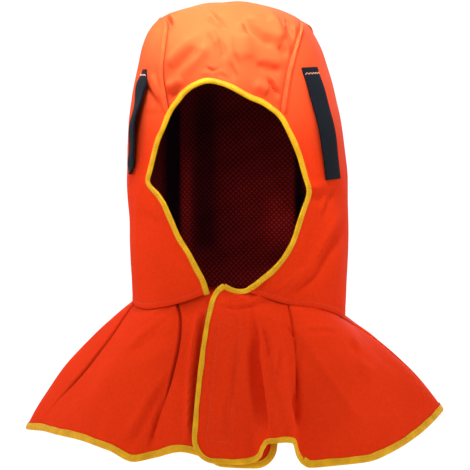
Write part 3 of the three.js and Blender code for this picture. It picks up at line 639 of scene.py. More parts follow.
# Rows of the crown from the brow over the top to the neck: front dome, short cap between the seams' ends,
# back dome, back of the neck. Each row has its two seam points, its middle point and its share of the brow's
# own line.
def crownRows(counts, browTurn, lowest):
    first = hood["firstTurn"]
    front, back = np.linspace(browTurn, first, counts[0]), np.linspace(first, 1, counts[2])
    low = np.linspace(hood["browCorner"], lowest, counts[3] + 1)[1:]
    cap = np.linspace(0, 1, counts[1] + 2)[1:-1]
    seams = {}
    for hand in (1, -1):
        top = domeLevel(first, hand)
        over = sidePoints(top, seamTurn[hand](top) * (1 - 2 * cap), hand)
        behind = sidePoints(low, -seamTurn[hand](low), hand)
        seams[hand] = np.concatenate([seamPoints(front, hand, 1), over, seamPoints(back, hand, -1), behind])
    reach, behind = hood["browReach"], float(backReach(hood["browCorner"]))
    middleY = np.concatenate([-reach * domeReach(front), mix(-reach, behind, cap) * domeReach(first),
                              behind * domeReach(back), backReach(low)])
    share = (low - hood["browCorner"]) / (hood["neckLevel"] - hood["browCorner"])
    browTop, backCentre = hood["browTop"], hood["backCentre"]
    middleDrop = np.concatenate([browTop * domeRise(front), browTop * domeRise(first) + 0 * cap,
                                 backCentre * domeRise(back), mix(backCentre, neckDrop(180.0), share)])
    browShare = np.concatenate([front ** hood["browPower"], np.zeros(len(cap) + len(back) + len(low))])
    return seams, middleY, middleDrop, browShare


# Crown surface: x runs evenly between the seams; y and z go from the middle to them by a power of the way
def crownPoints(rows, across):
    seams, middleY, middleDrop, browShare = rows
    seam = np.where((across < 0)[None, :, None], seams[-1][:, None], seams[1][:, None])
    share = np.abs(across)[None] ** hood["crownArch"]
    x = mix(((seams[1] + seams[-1]) / 2)[:, None, 0], seam[..., 0], np.abs(across)[None])
    y = mix(middleY[:, None], seam[..., 1], share)
    z = -mix(middleDrop[:, None], -seam[..., 2], share)
    z = z - (browDrop(across)[None] - mix(hood["browTop"], hood["browCorner"], share)) * browShare[:, None]
    flat = np.stack([x, y, z], -1)
    return mix(flat, dented(flat), (1 - np.abs(across) ** hood["dentPower"])[None, :, None])


# Side surface: rows of the dome between the two seams, then rows from the face edge to the back seam
def sideRows(hand, counts, lowest, firstTurn):
    turn = np.linspace(firstTurn, 1, counts[0])
    low = np.linspace(hood["browCorner"], lowest, counts[1] + 1)[1:]
    level = np.concatenate([domeLevel(turn, hand), low])
    start = np.concatenate([seamTurn[hand](domeLevel(turn, hand)), faceTurn(low, hand)])
    return level, start, -seamTurn[hand](level)


# Distance from a seam, in mm, over which creases and slow waves come up to their full rise
calmAtSeam = {"creases": 5.0, "ripple": 12.0}

# Small shifts of the face edge on the front view: place, reach, shift to the right and down, in mm; how far
# cloth has to face the camera to shift in full, and the least that the way back is reckoned with
edgeSlide = {
    "shifts": [(211, 81, 17, 0.0, -4.2), (250, 95, 11, 0.0, 1.6), (281, 111, 11, -1.5, 3.2),
               (168, 112, 10, 1.0, 2.2)],
    "facing": 0.3, "least": 0.35,
}


# Points slid along the hood by bell-shaped shifts on the front view: the shift is made in the view's plane,
# then each point goes back along the view until it is as far from the head's middle as before
def slid(points):
    right, up, back = cameraAxes()[:3]
    normals = unit(points - headMiddle)
    place = frontView(points)
    move = np.zeros(points.shape)
    for x, y, reach, aside, down in edgeSlide["shifts"]:
        far = ((place - np.array([x, y])) ** 2).sum(-1)
        near = np.exp(-far / reach**2) * smooth(normals @ back, 0, edgeSlide["facing"])
        move += near[..., None] * (right * aside - up * down)
    lost = (move * normals).sum(-1) / np.maximum(normals @ back, edgeSlide["least"])
    return points + move - back * lost[..., None]


# Crown panel
crown = {
    "rows": (64, 8, 64, 78), "columns": 96, "flat": (0.175, 0.50), "area": 0.070,
    "seamDive": 1.1, "seamWidth": 3.0, "strength": 3.0, "ripple": (0.7, 4), "calmAtBrow": (3, 12),
    # painted shade in the right seam and in the left, and its width
    "seamShade": (0.8, 0.5), "seamShadeWidth": 1.6,
    # width, rise, fall and line of each crease on the front view
    "creases": [(2.2, -0.2, 0.0, [(165, 20), (165, 40), (164, 50), (162, 60), (161.5, 70), (162, 80),
                                  (164.5, 93), (168, 105)]),
                (3.0, -0.6, 0.8, [(167, 15), (171, 20), (172, 25)]), (5.0, -0.8, 0.8, [(166, 98), (179, 90)]),
                (4.5, 1.2, 0.0, [(166, 87), (184, 80)]), (2.5, -0.4, 0.7, [(212, 12), (219, 19), (226, 27)]),
                (3.0, 0.7, 0.0, [(209, 16), (221, 27)]), (4.0, 1.0, 0.0, [(209, 31), (217, 41), (216, 47)]),
                (2.6, -0.4, 0.9, [(218, 40), (222, 50), (221, 57)]), (3.0, 0.7, 0.0, [(235, 33), (236, 57)]),
                (5.0, -0.4, 1.7, [(246, 20), (254, 29), (263, 36), (274, 43)]),
                (2.5, 0.7, 0.0, [(241, 22), (242, 34)]), (5.0, 1.2, 0.0, [(272, 18), (279, 34), (281, 42)]),
                (2.2, -0.5, 0.9, [(285.5, 21), (286, 31)]), (3.0, -0.3, 0.7, [(291, 26), (295, 37)]),
                (4.0, -0.5, 1.2, [(281, 44), (288, 53)]), (2.0, -0.4, 0.8, [(208, 67), (213, 70), (218, 68)]),
                (2.0, 0.5, 0.0, [(202, 74), (210, 73)]), (2.0, 0.5, 0.0, [(214, 73), (220, 70)]),
                (2.5, -0.3, 0.6, [(221, 74), (228, 77)]), (3.0, 0.0, 0.7, [(231, 62), (233, 68), (236, 73)]),
                (3.0, 0.0, 0.6, [(236, 53), (239, 63)]), (3.0, 0.0, 0.35, [(257, 62), (265, 66)]),
                (3.0, 0.0, 0.35, [(273, 66), (280, 68)]), (2.6, -0.8, 1.6, [(270, 79), (275, 87), (281, 95)]),
                (3.5, -0.4, 0.9, [(272, 101), (280, 106)]), (6.0, 1.4, 0.0, [(254, 84), (268, 92)]),
                (7.0, 0.0, 2.0, [(172, 70), (184, 56), (196, 44)]),
                (6.0, 1.4, 0.0, [(178, 76), (192, 62), (208, 46)]),
                (4.5, -0.7, 0.3, [(232, 62), (232.5, 72), (233, 80)]),
                (7.0, 1.2, 0.0, [(244, 34), (247, 60)]), (6.0, -0.6, 1.0, [(258, 62), (270, 66), (281, 68)])],
}


# Even steps from 0 to 1, partly drawn towards both ends by a cosine
def spaced(count, ends=0.45):
    t = np.linspace(0, 1, count)
    return mix(t, 0.5 - 0.5 * np.cos(math.pi * t), ends)


# Crown's outer face: the crown surface, slid at the face edge, plus creases and slow waves that die away at
# the seams and the brow, less a bell-shaped dive into each seam
def crownGrid(counts, columns, browTurn=1.0, lowest=hood["neckLevel"], sewn=True):
    across = 2 * spaced(columns) - 1
    grid = slid(crownPoints(crownRows(counts, browTurn, lowest), across))
    normals = gridNormals(grid, headMiddle)
    half = np.linalg.norm(grid[:, -1] - grid[:, 0], axis=-1)[:, None] / 2
    toSeam = (1 - np.abs(across))[None] * half
    rise = crown["strength"] * creaseRise(grid, normals, crown["creases"])
    rise *= smooth(toSeam, 0, calmAtSeam["creases"])
    rise += ripple(grid, normals, *crown["ripple"]) * smooth(toSeam, 0, calmAtSeam["ripple"])
    if sewn:
        rise *= smooth(gridLengths(grid, 0), *crown["calmAtBrow"])
        rise -= crown["seamDive"] * bell(toSeam, crown["seamWidth"])
    return grid + normals * rise[..., None], toSeam


crownOuter, crownToSeam = crownGrid(crown["rows"], crown["columns"])
crownNormals = gridNormals(crownOuter, headMiddle)
# Painted shade along both seams of the crown
crownSeamShade = np.where(crownOuter[..., 0] < 0, *crown["seamShade"]) * bell(crownToSeam, crown["seamShadeWidth"])
crownPiece = clothSheet("crown_cloth", crownOuter, crownNormals, hood["cloth"], {"seamShade": crownSeamShade})
dressed(crownPiece, "drill", "crown_panel")
print("crown made")

# Side panels
sidePanel = {
    "rows": (66, 90), "columns": 124, "ripple": 0.35, "seed": 7,
    "flat": {1: (0.26, 0.30), -1: (0.27, 0.31)}, "area": {1: 0.060, -1: 0.065},
    # the face edge is no seam: past the brow corner, over this stretch, it counts as this far off
    "seamEnds": (-2, 6), "offFace": 60,
    "seamDive": 1.1, "seamWidth": 1.3,
    "ridge": {1: 2.5, -1: 1.8}, "ridgeAt": 3.2, "ridgeStart": 9, "ridgeWidth": {1: 2.4, -1: 2.8},
    # lower edge: how high or deep, how wide and how far from the edge
    "hemDive": (0.7, 1.3), "hemRidge": (0.4, 1.5, 2.6), "stitchDent": (0.45, 0.9), "stitchAt": 5.0,
    "stitchColumns": (6, -2),
    "creases": {
        -1: [(4.0, 0.0, 1.8, [(145, 80), (152, 92), (160, 104)]),
             (2.5, 1.2, 0.0, [(150, 74), (157, 87), (164, 100)]),
             (2.5, 0.5, 0.0, [(138, 185), (137, 240), (139, 295)]), (6.0, 0.0, 0.6, [(146, 210), (160, 222)]),
             (4.0, 0.0, 0.6, [(146, 112), (160, 111)])],
        1: [(6.0, -1.7, 4.0, [(342, 218), (336, 231), (328, 245), (321, 257), (315, 270), (300, 285),
                              (287, 295)]),
            (7.0, 0.0, 1.4, [(304, 192), (318, 193), (331, 187)]),
            (2.5, -0.3, 0.9, [(296, 277), (285, 287), (272, 295)]),
            (3.5, 0.0, 1.5, [(332, 184), (327, 200), (322, 215)]), (5.0, 0.8, 0.0, [(308, 186), (318, 189)]),
            (4.0, 0.6, 0.0, [(303, 235), (300, 262)]), (4.0, 0.0, 0.5, [(310, 230), (305, 260)])],
    },
}


# Side panel's outer face: the side surface, slid at the face edge, plus creases, slow waves and a ridge by
# each seam, less bell-shaped dives at the seams, the lower edge and its row of stitches
def sideGrid(hand, counts, columns, lowest=hood["neckLevel"], setBack=0.0, firstTurn=hood["firstTurn"]):
    s = sidePanel
    level, start, end = sideRows(hand, counts, lowest, firstTurn)
    width = sectionRadius(level, start, hand) * np.radians(start - end)
    first = np.where(np.arange(len(level)) >= counts[0], setBack / width, 0)
    share = mix(first[:, None], 1, spaced(columns)[None])
    grid = slid(sidePoints(level[:, None], mix(start[:, None], end[:, None], share), hand))
    normals = gridNormals(grid, headMiddle)
    atFace = smooth(level - hood["browCorner"], *s["seamEnds"])[:, None]
    toFront = share * width[:, None] + s["offFace"] * atFace
    toSeam = np.minimum(toFront, (1 - share) * width[:, None])
    toHem = gridLengths(grid[::-1], 0)[::-1]
    rise = creaseRise(grid, normals, s["creases"][hand]) * smooth(toSeam, 0, calmAtSeam["creases"])
    rise += ripple(grid, normals, s["ripple"], s["seed"] + hand) * smooth(toSeam, 0, calmAtSeam["ripple"])
    if not setBack:
        fromTop = smooth(level, level[0], level[0] + s["ridgeStart"])[:, None]
        rise += s["ridge"][hand] * fromTop * bell(toSeam - s["ridgeAt"], s["ridgeWidth"][hand])
        rise -= s["seamDive"] * bell(toSeam, s["seamWidth"])
        rise -= s["hemDive"][0] * bell(toHem, s["hemDive"][1])
        rise -= s["stitchDent"][0] * bell(toHem - s["stitchAt"], s["stitchDent"][1])
        rise += s["hemRidge"][0] * bell(toHem - s["hemRidge"][2], s["hemRidge"][1])
    return grid + normals * rise[..., None], toHem


sides = {}
for hand, word in handWords.items():
    grid, toHem = sideGrid(hand, sidePanel["rows"], sidePanel["columns"])
    normals = gridNormals(grid, headMiddle)
    sides[hand] = {"grid": grid, "normals": normals, "toHem": toHem}
    piece = clothSheet("side_cloth_" + word, grid, normals, hood["cloth"])
    dressed(piece, "drill", "side_panel_" + word)
print("side panels made")

# Mesh lining, set in from the panels. How much red shows through it is painted light and shade inside the
# hood, by height and by bands on the front view.
lining = {
    "crownRows": (44, 6, 44, 54), "crownColumns": 64, "sideRows": (44, 60), "sideColumns": 72,
    "round": 0.116, "depth": 2.4, "thick": 0.8, "setBack": 8.0, "lowest": 272.0,
    "browTurn": 0.93, "topTurn": 0.12, "flat": {"crown": (0.17, 0.48), 1: (0.25, 0.28), -1: (0.26, 0.29)},
    "area": {"crown": 0.066, 1: 0.055, -1: 0.060},
    # height on the front view; share of the red there, painted light and shade
    "red": [(60, 0.42), (100, 0.42), (125, 0.41), (155, 0.53), (200, 0.62), (235, 0.46), (290, 0.5)],
    # bands of painted shade on the front view: left and right edge, softness of each, top, bottom and
    # strength, which is below zero for bands of painted light, where more red shows
    "bands": [(163, 180, 5.0, 1.2, 100, 300, 0.97), (294.5, 303, 2.5, 2.5, 140, 238, 0.9),
              (194, 216, 7.0, 7.0, 85, 250, 0.62), (296, 312, 2.0, 4.0, 184, 216, 0.9),
              (150, 232, 5.0, 22.0, 100, 300, 0.3), (266, 296, 12.0, 5.0, 200, 245, -0.8),
              (182, 191, 3.0, 4.0, 165, 250, -0.9)],
    "softTop": 20, "softBottom": 12,
}
throughRed = curveThrough(lining["red"], 1)


# Painted light and shade: share of the red that shows through, by height, times what each band leaves of it
def paintedLightShare(points):
    x, y = np.moveaxis(frontView(points), -1, 0)
    shown = np.ones(points.shape[:-1])
    for left, right, softLeft, softRight, top, bottom, strength in lining["bands"]:
        inside = np.ones(shown.shape)
        for value, at, soft in ((x, left, softLeft), (y, top, lining["softTop"])):
            inside *= smooth(value, at - soft, at + soft)
        for value, at, soft in ((x, right, softRight), (y, bottom, lining["softBottom"])):
            inside *= 1 - smooth(value, at - soft, at + soft)
        shown *= 1 - strength * inside
    return shown * throughRed(y)


# A lining panel lies a depth inside its cloth panel, with its knit laid out by the angle and the height
def liningPiece(name, grid, node):
    normals = gridNormals(grid, headMiddle)
    inner = grid - normals * lining["depth"]
    around = np.arctan2(inner[..., 0], inner[..., 1]) * lining["round"]
    lengths = np.stack([around, inner[..., 2] / 1000], -1)
    piece = clothSheet(name, inner, normals, lining["thick"], {"paintedLight": paintedLightShare(inner)}, lengths)
    dressed(piece, "knit", node)


grid = crownGrid(lining["crownRows"], lining["crownColumns"], lining["browTurn"], lining["lowest"],
                 sewn=False)[0]
liningPiece("lining_crown_mesh", grid, "lining_crown")
for hand, word in handWords.items():
    grid = sideGrid(hand, lining["sideRows"], lining["sideColumns"], lining["lowest"], lining["setBack"],
                    lining["topTurn"])[0]
    liningPiece("lining_mesh_" + word, grid, "lining_" + word)
print("lining made")

# Cape: gores between tuck lines, flaring from the neck seam to a folded hem, with a front lap
cape = {
    "rows": (16, 82), "topShare": 0.08, "cloth": 1.2, "flat": (0.95, 0.18), "area": 0.146,
    "bow": 0.48, "neckHold": 1.0, "lapSet": 2.5, "cornerSet": 2.2, "seamOut": 2.1, "ripple": (0.4, 12),
    "flapLift": 3.0, "flapFalls": (10, 26), "flapFade": 14, "flapCorner": 24.0, "flapEnd": 30,
    "cornerCut": 5.7, "cutReach": 45, "cutDepth": 0.03, "topEnd": 11,
    "nearFront": (22, 40), "underSet": 3.2, "underFrom": (322, 350), "goreGap": 0.2, "edgeCrowding": 0.5,
    # shares of the way down over which each thing comes in or fades
    "fallsOver": (0, 0.3), "cornerOver": (0, 0.25), "rippleOver": (0.05, 0.3), "stepOver": (0.5, 0.88),
    "lipOver": (0.2, 0.8), "seamShadeOver": (0.55, 0.95), "lengthFrom": 0.05,
    # lip below the neck seam: its mm under the seam and its degrees; tuck lines' bow: its lean and its loss
    "lipUnder": (0.2, 1.6), "lipFrom": (8, 18), "tuckLean": 0.8, "tuckLoss": 0.75,
    # degrees from the face side; how far the cape goes up past the neck seam
    "lap": [(-12, 7.5), (0, 7.5), (3, 4.2), (6, 1.8), (12, 0.9), (16, 1.5), (24, 5), (345, 5), (350, 0),
            (355, -8), (383, -8)],
    # degrees from the face side towards the left; reach of the hem, push of a fold, drop of the hem
    "hem": [(-12, 147, 0, 434.5), (0, 148, 0, 435), (7, 149, 0, 435.5), (11, 151, 0, 434.5),
            (13, 152.5, -0.5, 433), (14.2, 154, 0, 431), (15.1, 155, 4, 427), (15.8, 156, 9, 418),
            (16.5, 157, 13, 412.6), (18.2, 158.8, 14, 411.2), (21.5, 161, 14, 411.2),
            (24.6, 164.5, 11, 412.5), (26.2, 165.5, 6, 418), (27.6, 167, 1, 427), (29, 168, -1.5, 433.5),
            (31.5, 169.5, -1, 438), (41, 175, 0, 437), (51, 180, 2, 436), (61, 184, 1, 430.5),
            (77, 194, 0, 417), (90, 203, 2, 404), (108, 195, -4, 408), (124, 186, 6, 412),
            (142, 172, -6, 426), (160, 165, 6, 421), (180, 161, -5, 430), (200, 165, 6, 423),
            (218, 174, -6, 430), (236, 188, 6, 421), (252, 205, -3, 426), (270, 216, 2, 431),
            (283, 193, 0, 427), (297, 172, 0, 427), (315, 157, 1, 432), (325.5, 150.5, 2, 440),
            (333, 148, -4, 435.5), (346, 146, 0, 427), (353, 146, 0, 430), (362, 147, 0, 439.5),
            (383, 150, 0, 441)],
    # tuck lines: degrees at the neck and the hem, columns of the gore that starts there, step, bend
    "gores": [(-6, -9.5, 76, 0, -2.2), (35.5, 27, 70, 1.6, 0), (90, 92, 30, 1.2, 0), (120, 118, 32, 1.6, 0),
              (150, 152, 26, 1.6, 0), (180, 180, 26, 1.6, 0), (210, 208, 32, 1.6, 0), (240, 242, 26, 1.6, 0),
              (266, 259, 26, 1.2, 0), (285, 277, 64, -1.6, 12.5), (328.3, 330, 62, -1.6, 13.0),
              (383, 382.5, 0, 0, 0)],
    # painted shade in the tucks of the left side and of the right
    "groove": 1.7, "strength": 1.4, "seamShade": (0.12, 0.6),
    # creases of the outer flap and the left side, then of the right side
    "creases": {
        1: [(2.4, -0.8, 1.4, [(222, 306), (238, 307.5), (250, 305.5), (260, 303)]),
            (3.5, 1.2, 0.0, [(224, 299), (245, 300), (266, 297)]),
            (5.0, -2.6, 3.0, [(251, 313), (254, 338), (252, 355), (253, 382), (257, 408), (262, 435)]),
            (6.0, 2.4, 0.0, [(261, 352), (263, 375), (268, 400), (274, 432)]),
            (9.0, 0.0, -5.4, [(263, 352), (265, 366), (268, 385), (273.5, 405), (279, 428), (281, 440)]),
            (1.8, -1.6, 0.8, [(262, 325), (267, 347), (267.5, 362)]),
            (1.8, -1.2, 0.6, [(280, 347), (277, 362), (273, 382)]), (3.5, 0.8, 0.0, [(271, 335), (272, 352)]),
            (1.8, -1.4, 0.8, [(288, 328), (298, 340)]),
            (2.0, -1.4, 1.0, [(298, 342), (297, 375), (296, 395)]),
            (3.2, -2.4, 1.4, [(296, 392), (294.5, 405), (296, 422)]),
            (5.0, 1.3, 0.0, [(302, 340), (320, 368), (337, 392), (357, 417)]),
            (2.4, -0.3, 0.9, [(306, 331), (332, 331)]), (4.0, 0.0, 0.8, [(349, 341), (357, 352)]),
            (7.0, 0.0, 1.4, [(356, 371), (371, 376)]), (2.5, 0.0, 0.7, [(262, 322), (275, 317)]),
            (1.5, -0.4, 0.0, [(215, 330), (206, 440)]), (1.5, -0.5, 0.0, [(239, 330), (229, 440)]),
            (6.0, 0.0, 0.8, [(236, 345), (231, 400)]), (4.0, 0.0, 0.6, [(226, 398), (224, 432)])],
        -1: [(5.0, -1.5, 2.2, [(168, 377), (158, 392), (148, 408), (137, 427), (127, 443)]),
             (2.2, -2.2, 1.2, [(164, 392), (158, 408), (153, 428), (149, 448)]),
             (4.0, 0.0, 0.8, [(165, 320), (138, 342)]), (6.0, 0.8, 0.0, [(172, 346), (140, 368)]),
             (5.0, 0.0, 0.8, [(160, 330), (130, 352)]), (3.0, 0.0, 0.5, [(160, 312), (148, 322)]),
             (3.4, 4.2, 0.0, [(200, 312), (196.5, 335), (192.5, 360), (190, 390), (188.5, 440)]),
             (2.4, -3.4, 0.0, [(205, 318), (200.5, 345), (196.5, 380), (194, 430)])],
    },
}
hemReach, hemFold, hemDrop = (curveThrough(cape["hem"], k) for k in (1, 2, 3))
neckLap = curveThrough(cape["lap"], 1)


# How far the cape lies out: the outer flap stands out, the under flap lies in, both clear the tape's ends
def capeLayer(angle, share):
    nearFront = 1 - smooth(np.abs(wrapped(angle)), *cape["nearFront"])
    fallsAt = mix(*cape["flapFalls"], smooth(share, *cape["fallsOver"]))
    lift = 1 - smooth(angle, fallsAt - cape["flapFade"], fallsAt)
    under = smooth(angle, *cape["underFrom"])
    corner = nearFront * (1 - lift) * (1 - smooth(share, *cape["cornerOver"]))
    return cape["flapLift"] * lift - cape["underSet"] * under - cape["cornerSet"] * corner


# Cape surface: the neck section inside the seam, spreading to the hem's reach with a bow outwards
def capePoints(angle, along):
    angle, along = np.broadcast_arrays(np.asarray(angle, float), np.asarray(along, float))
    neck, low = neckDrop(angle), hemDrop(angle)
    drop = mix(neck - neckLap(angle), low, along)
    share = np.clip((drop - neck - cape["neckHold"]) / (low - neck - cape["neckHold"]), 0, 1)
    around = wrapped(angle)
    turn = 90 - np.abs(around)
    top = np.where(around < 0, sectionRadius(neck, turn, -1), sectionRadius(neck, turn, 1)) - cape["lapSet"]
    r = mix(top, hemReach(angle), share + cape["bow"] * share * (1 - share)) + hemFold(angle) * share**2
    r = r + capeLayer(angle, share)
    return np.stack([r * np.sin(np.radians(angle)), -r * np.cos(np.radians(angle)), -drop], -1)


# How far a tuck line bows sideways on the way down: a half wave that leans to the top
def tuckBow(along):
    return np.sin(math.pi * along ** cape["tuckLean"]) * (1 - cape["tuckLoss"] * along)


# Millimetres to a degree along the cape
def degreeWidth(angle, along):
    return np.linalg.norm(capePoints(angle, along) - capePoints(angle + 1, along), axis=-1)


def capeLength(angle):
    first = cape["lengthFrom"]
    return np.linalg.norm(capePoints(angle, first) - capePoints(angle, 1.0), axis=-1) / (1 - first)


# Columns of the cape, gore by gore: angle at the neck and at the hem, distance to the flap's edge, step of
# the tuck, bend of the line, and whether the column lies in a tuck's groove
def capeColumns():
    made, last = [], len(cape["gores"]) - 2
    for g, (gore, following) in enumerate(zip(cape["gores"], cape["gores"][1:])):
        neck, hem, count, step, bend = gore
        neckNext, hemNext, bendNext = following[0], following[1], following[4]
        share = np.linspace(0, 1, count + 1)
        width = (hemNext - hem) * float(degreeWidth((hem + hemNext) / 2, 1.0))
        edge = np.full(len(share), np.inf)
        if g == 0:
            share = mix(share, share**2, cape["edgeCrowding"])
            edge = share * width
        if g == last:
            share = 1 - mix(1 - share, (1 - share) ** 2, cape["edgeCrowding"])
            edge = (1 - share) * width
        nudge = cape["goreGap"] * ((share == 0) * (g > 0) - (share == 1) * (g < last) * 1.0)
        tuck = step * (1 - share) ** 3 - cape["groove"] * (nudge != 0)
        made.append(np.stack([mix(neck, neckNext, share) + nudge, mix(hem, hemNext, share) + nudge,
                              edge, tuck, mix(bend, bendNext, share), nudge != 0]))
    return np.concatenate(made, axis=1)


# Cape's outer face: rows from the neck to the hem, shorter round the flaps' corners; the cape surface plus
# the steps at the tucks, slow waves, a lip below the neck seam and creases
capeNeck, capeHem, capeEdge, capeStep, capeBend, capeTuck = capeColumns()
flapCorner = cape["flapCorner"]
cornerRise = flapCorner - np.sqrt(flapCorner**2 - np.maximum(flapCorner - capeEdge, 0) ** 2)
capeEnd = 1 - cornerRise / capeLength(capeHem)
capeRows = np.concatenate([np.linspace(0, cape["topShare"], cape["rows"][0], endpoint=False),
                           np.linspace(cape["topShare"], 1, cape["rows"][1])])
capeAlong = capeRows[:, None] * capeEnd[None]
capeAngle = mix(capeNeck[None], capeHem[None], capeAlong) + capeBend[None] * tuckBow(capeAlong)
nearFlap = np.where(capeHem < cape["flapEnd"], np.clip(1 - capeEdge / cape["cutReach"], 0, 1), 0)[None]
capeAngle = capeAngle + cape["cornerCut"] * np.exp(-capeAlong / cape["cutDepth"]) * nearFlap
capeSmooth = capePoints(capeAngle, capeAlong)
capeMiddle = np.array([0.0, 0.0, -360.0])
capeBase = gridNormals(capeSmooth, capeMiddle)
capeRise = capeStep[None] * (1 - smooth(capeAlong, *cape["stepOver"]))
capeRise = capeRise + ripple(capeSmooth, capeBase, *cape["ripple"]) * smooth(capeAlong, *cape["rippleOver"])
belowSeam = smooth(-capeSmooth[..., 2] - neckDrop(capeAngle), *cape["lipUnder"])
belowSeam = belowSeam * smooth(capeAngle, *cape["lipFrom"])
capeRise += cape["seamOut"] * belowSeam * (1 - smooth(capeAlong, *cape["lipOver"]))
capeCreased = [creaseRise(capeSmooth, capeBase, cape["creases"][hand]) for hand in (1, -1)]
capeCreased = cape["strength"] * np.where(capeAngle < 180, *capeCreased)
capeGrid = capeSmooth + capeBase * (capeRise + capeCreased)[..., None]
capeNormals = gridNormals(capeGrid, capeMiddle)
# Painted shade in the tucks, fading towards the hem
capeSeamShade = np.where(capeNeck < 180, *cape["seamShade"]) * capeTuck * (1 - smooth(capeAlong, *cape["seamShadeOver"]))
capePiece = clothSheet("cape_cloth", capeGrid, capeNormals, cape["cloth"], {"seamShade": capeSeamShade})
dressed(capePiece, "drill", "cape")
print("cape made:", capeGrid.shape[:2])

# Edge tape folded over the face edge, the flaps and the hem, and sewn near its inner edge
tape = {
    "face": 4.1, "front": 4.2, "hem": 5.9, "thick": 0.75, "gap": 0.15, "turn": 2.6, "spacing": 0.9,
    "joint": 30.2, "sewnAt": 1.5, "dent": 0.22, "deeper": 0.6, "threadSink": 1.3, "soft": 5,
    # rows or columns inside an edge that give its direction and its normal; brow points left out at each end
    "cheekInside": (5, 2), "browInside": (2, 1), "browTrim": 4, "underFirst": 2,
    # wander of the inner edge: rise, turns and start of each wave, and the length that the turns go by
    "wander": [(0.22, 2.1, 0), (0.18, 5.3, 1)], "wanderLength": 23.0,
    # where the face tape leaves the cheek: level, lift over the flap and its reach; softening of the turns
    "chinLevel": 269.0, "chinLift": 2.6, "chinReach": 9.0,
    "cornerSoft": 10, "cornerReach": 12.0,
}
tapeStitch = {"pitch": 3.2, "length": 2.5, "thick": 0.5}


# A folded tape along an edge: the profile goes up one leg, round the fold and back along the other leg, with
# a dent where it is sewn that is deeper at each stitch
def foldedTape(name, edge, inwards, normals, width, node):
    path, inwards, normals = evenly(tape["spacing"], edge, inwards, normals)
    ahead = unit(np.gradient(path, axis=0))
    inwards = unit(squareTo(softened(unit(squareTo(inwards, ahead)), tape["soft"]), ahead))
    over = unit(squareTo(squareTo(unit(softened(normals, tape["soft"])), ahead), inwards))
    w, g, t, c = width, tape["gap"], tape["thick"], cape["cloth"]
    sewn = w - tape["sewnAt"]
    outer = [(w, g), (w, g + t * 0.7), (w - 0.45, g + t), (sewn + 0.6, g + t), (sewn, g + t),
             (sewn - 0.6, g + t), (w * 0.4, g + t + 0.12), (0.9, g + t), (-0.2, g + t * 0.7),
             (-0.95, g * 0.5 - c * 0.2), (-1.1, -c * 0.5)]
    under = [(x, -c - y) for x, y in outer[-2::-1]]
    profile = np.array(outer + under + [(0.3, -c - g), (-0.2, -c * 0.5), (0.3, g)])
    waves = 0.5 + 0.5 * np.cos(2 * math.pi * np.arange(len(path)) * tape["spacing"] / tapeStitch["pitch"])
    profile = np.tile(profile, (len(path), 1, 1))
    for k, side in ((4, 1), (len(outer) + len(under) - 5, -1)):
        profile[:, k, 1] -= side * tape["dent"] * (1.0 + tape["deeper"] * waves)
    slow = np.arange(len(path)) * tape["spacing"] / tape["wanderLength"]
    for rise, turns, start in tape["wander"]:
        profile[:, :4, 0] += rise * np.sin(slow * turns + start)[:, None]
    piece = dressed(sweptBand(name, path, inwards, over, profile), "tape", node)
    sewing = path + inwards * sewn + over * (g + t - tape["dent"] * tape["threadSink"])
    threads = stitchRow(name + "_stitches", sewing, over, tapeStitch)
    dressed(threads, "yellowThread")


# Edge points, inward directions and normals along the side panels' face edge, from the brow corner down
def cheekEdge(hand):
    grid, normals = sides[hand]["grid"], sides[hand]["normals"]
    first = sidePanel["rows"][0]
    inside, facing = tape["cheekInside"]
    return grid[first:, 0], unit(grid[first:, inside] - grid[first:, 0]), normals[first:, facing]


inside, facing = tape["browInside"]
browEdge = (crownOuter[0], unit(crownOuter[inside] - crownOuter[0]), crownNormals[facing])
inRow = unit(np.gradient(capeGrid, axis=1))
upColumn = -unit(np.gradient(capeGrid, axis=0))
lastRow = capeGrid.shape[0] - 1


# Edge line along the hem between two columns, turning round a flap's corner: the inward direction goes from
# along the row at the flap's edge to up the column where the corner ends
def hemEdge(columns, way):
    turn = np.arccos(np.clip(1 - capeEdge[columns] / cape["flapCorner"], 0, 1))[:, None]
    inwards = way * inRow[lastRow, columns] * np.cos(turn) + upColumn[lastRow, columns] * np.sin(turn)
    return capeGrid[lastRow, columns], inwards, capeNormals[lastRow, columns]


def flapSide(column, way, first):
    return capeGrid[first:, column], way * inRow[first:, column], capeNormals[first:, column]


# The face tape goes round the cheeks and the brow, leaves the left cheek's edge near the chin and ends along
# the outer flap's top; the turn between them is a running mean of the line
topColumns = np.nonzero((capeAngle[0] < cape["topEnd"]) & (capeHem < cape["flapEnd"]))[0][::-1]
flapTop = (capeGrid[0, topColumns], -upColumn[0, topColumns], capeNormals[1, topColumns])
chinLevels = sideRows(1, sidePanel["rows"], hood["neckLevel"], hood["firstTurn"])[0]
chinRows = slice(0, int(np.argmax(chinLevels > tape["chinLevel"])) - sidePanel["rows"][0])
chinLine = [np.concatenate([left[chinRows], top]) for left, top in zip(cheekEdge(1), flapTop)]
chinLine = [softened(part, tape["soft"]) for part in evenly(tape["spacing"], *chinLine)]
toChin = np.linalg.norm(chinLine[0] - cheekEdge(1)[0][chinRows][-1], axis=-1)[:, None]
chinLine[0] = chinLine[0] + chinLine[2] * tape["chinLift"] * bell(toChin, tape["chinReach"])
browMiddle = [part[tape["browTrim"]:-tape["browTrim"]] for part in browEdge]
faceParts = zip(cheekEdge(-1), browMiddle, chinLine)
faceLine = [np.concatenate([right[::-1], brow, chin]) for right, brow, chin in faceParts]
faceLine = evenly(tape["spacing"], *faceLine)
toCorner = np.linalg.norm(faceLine[0][:, None] - crownOuter[0, [0, -1]][None], axis=-1).min(axis=1)[:, None]
nearCorner = bell(toCorner, tape["cornerReach"])
faceLine = [mix(part, softened(part, tape["cornerSoft"]), nearCorner) for part in faceLine]
foldedTape("face_tape", *faceLine, tape["face"], "face_binding")

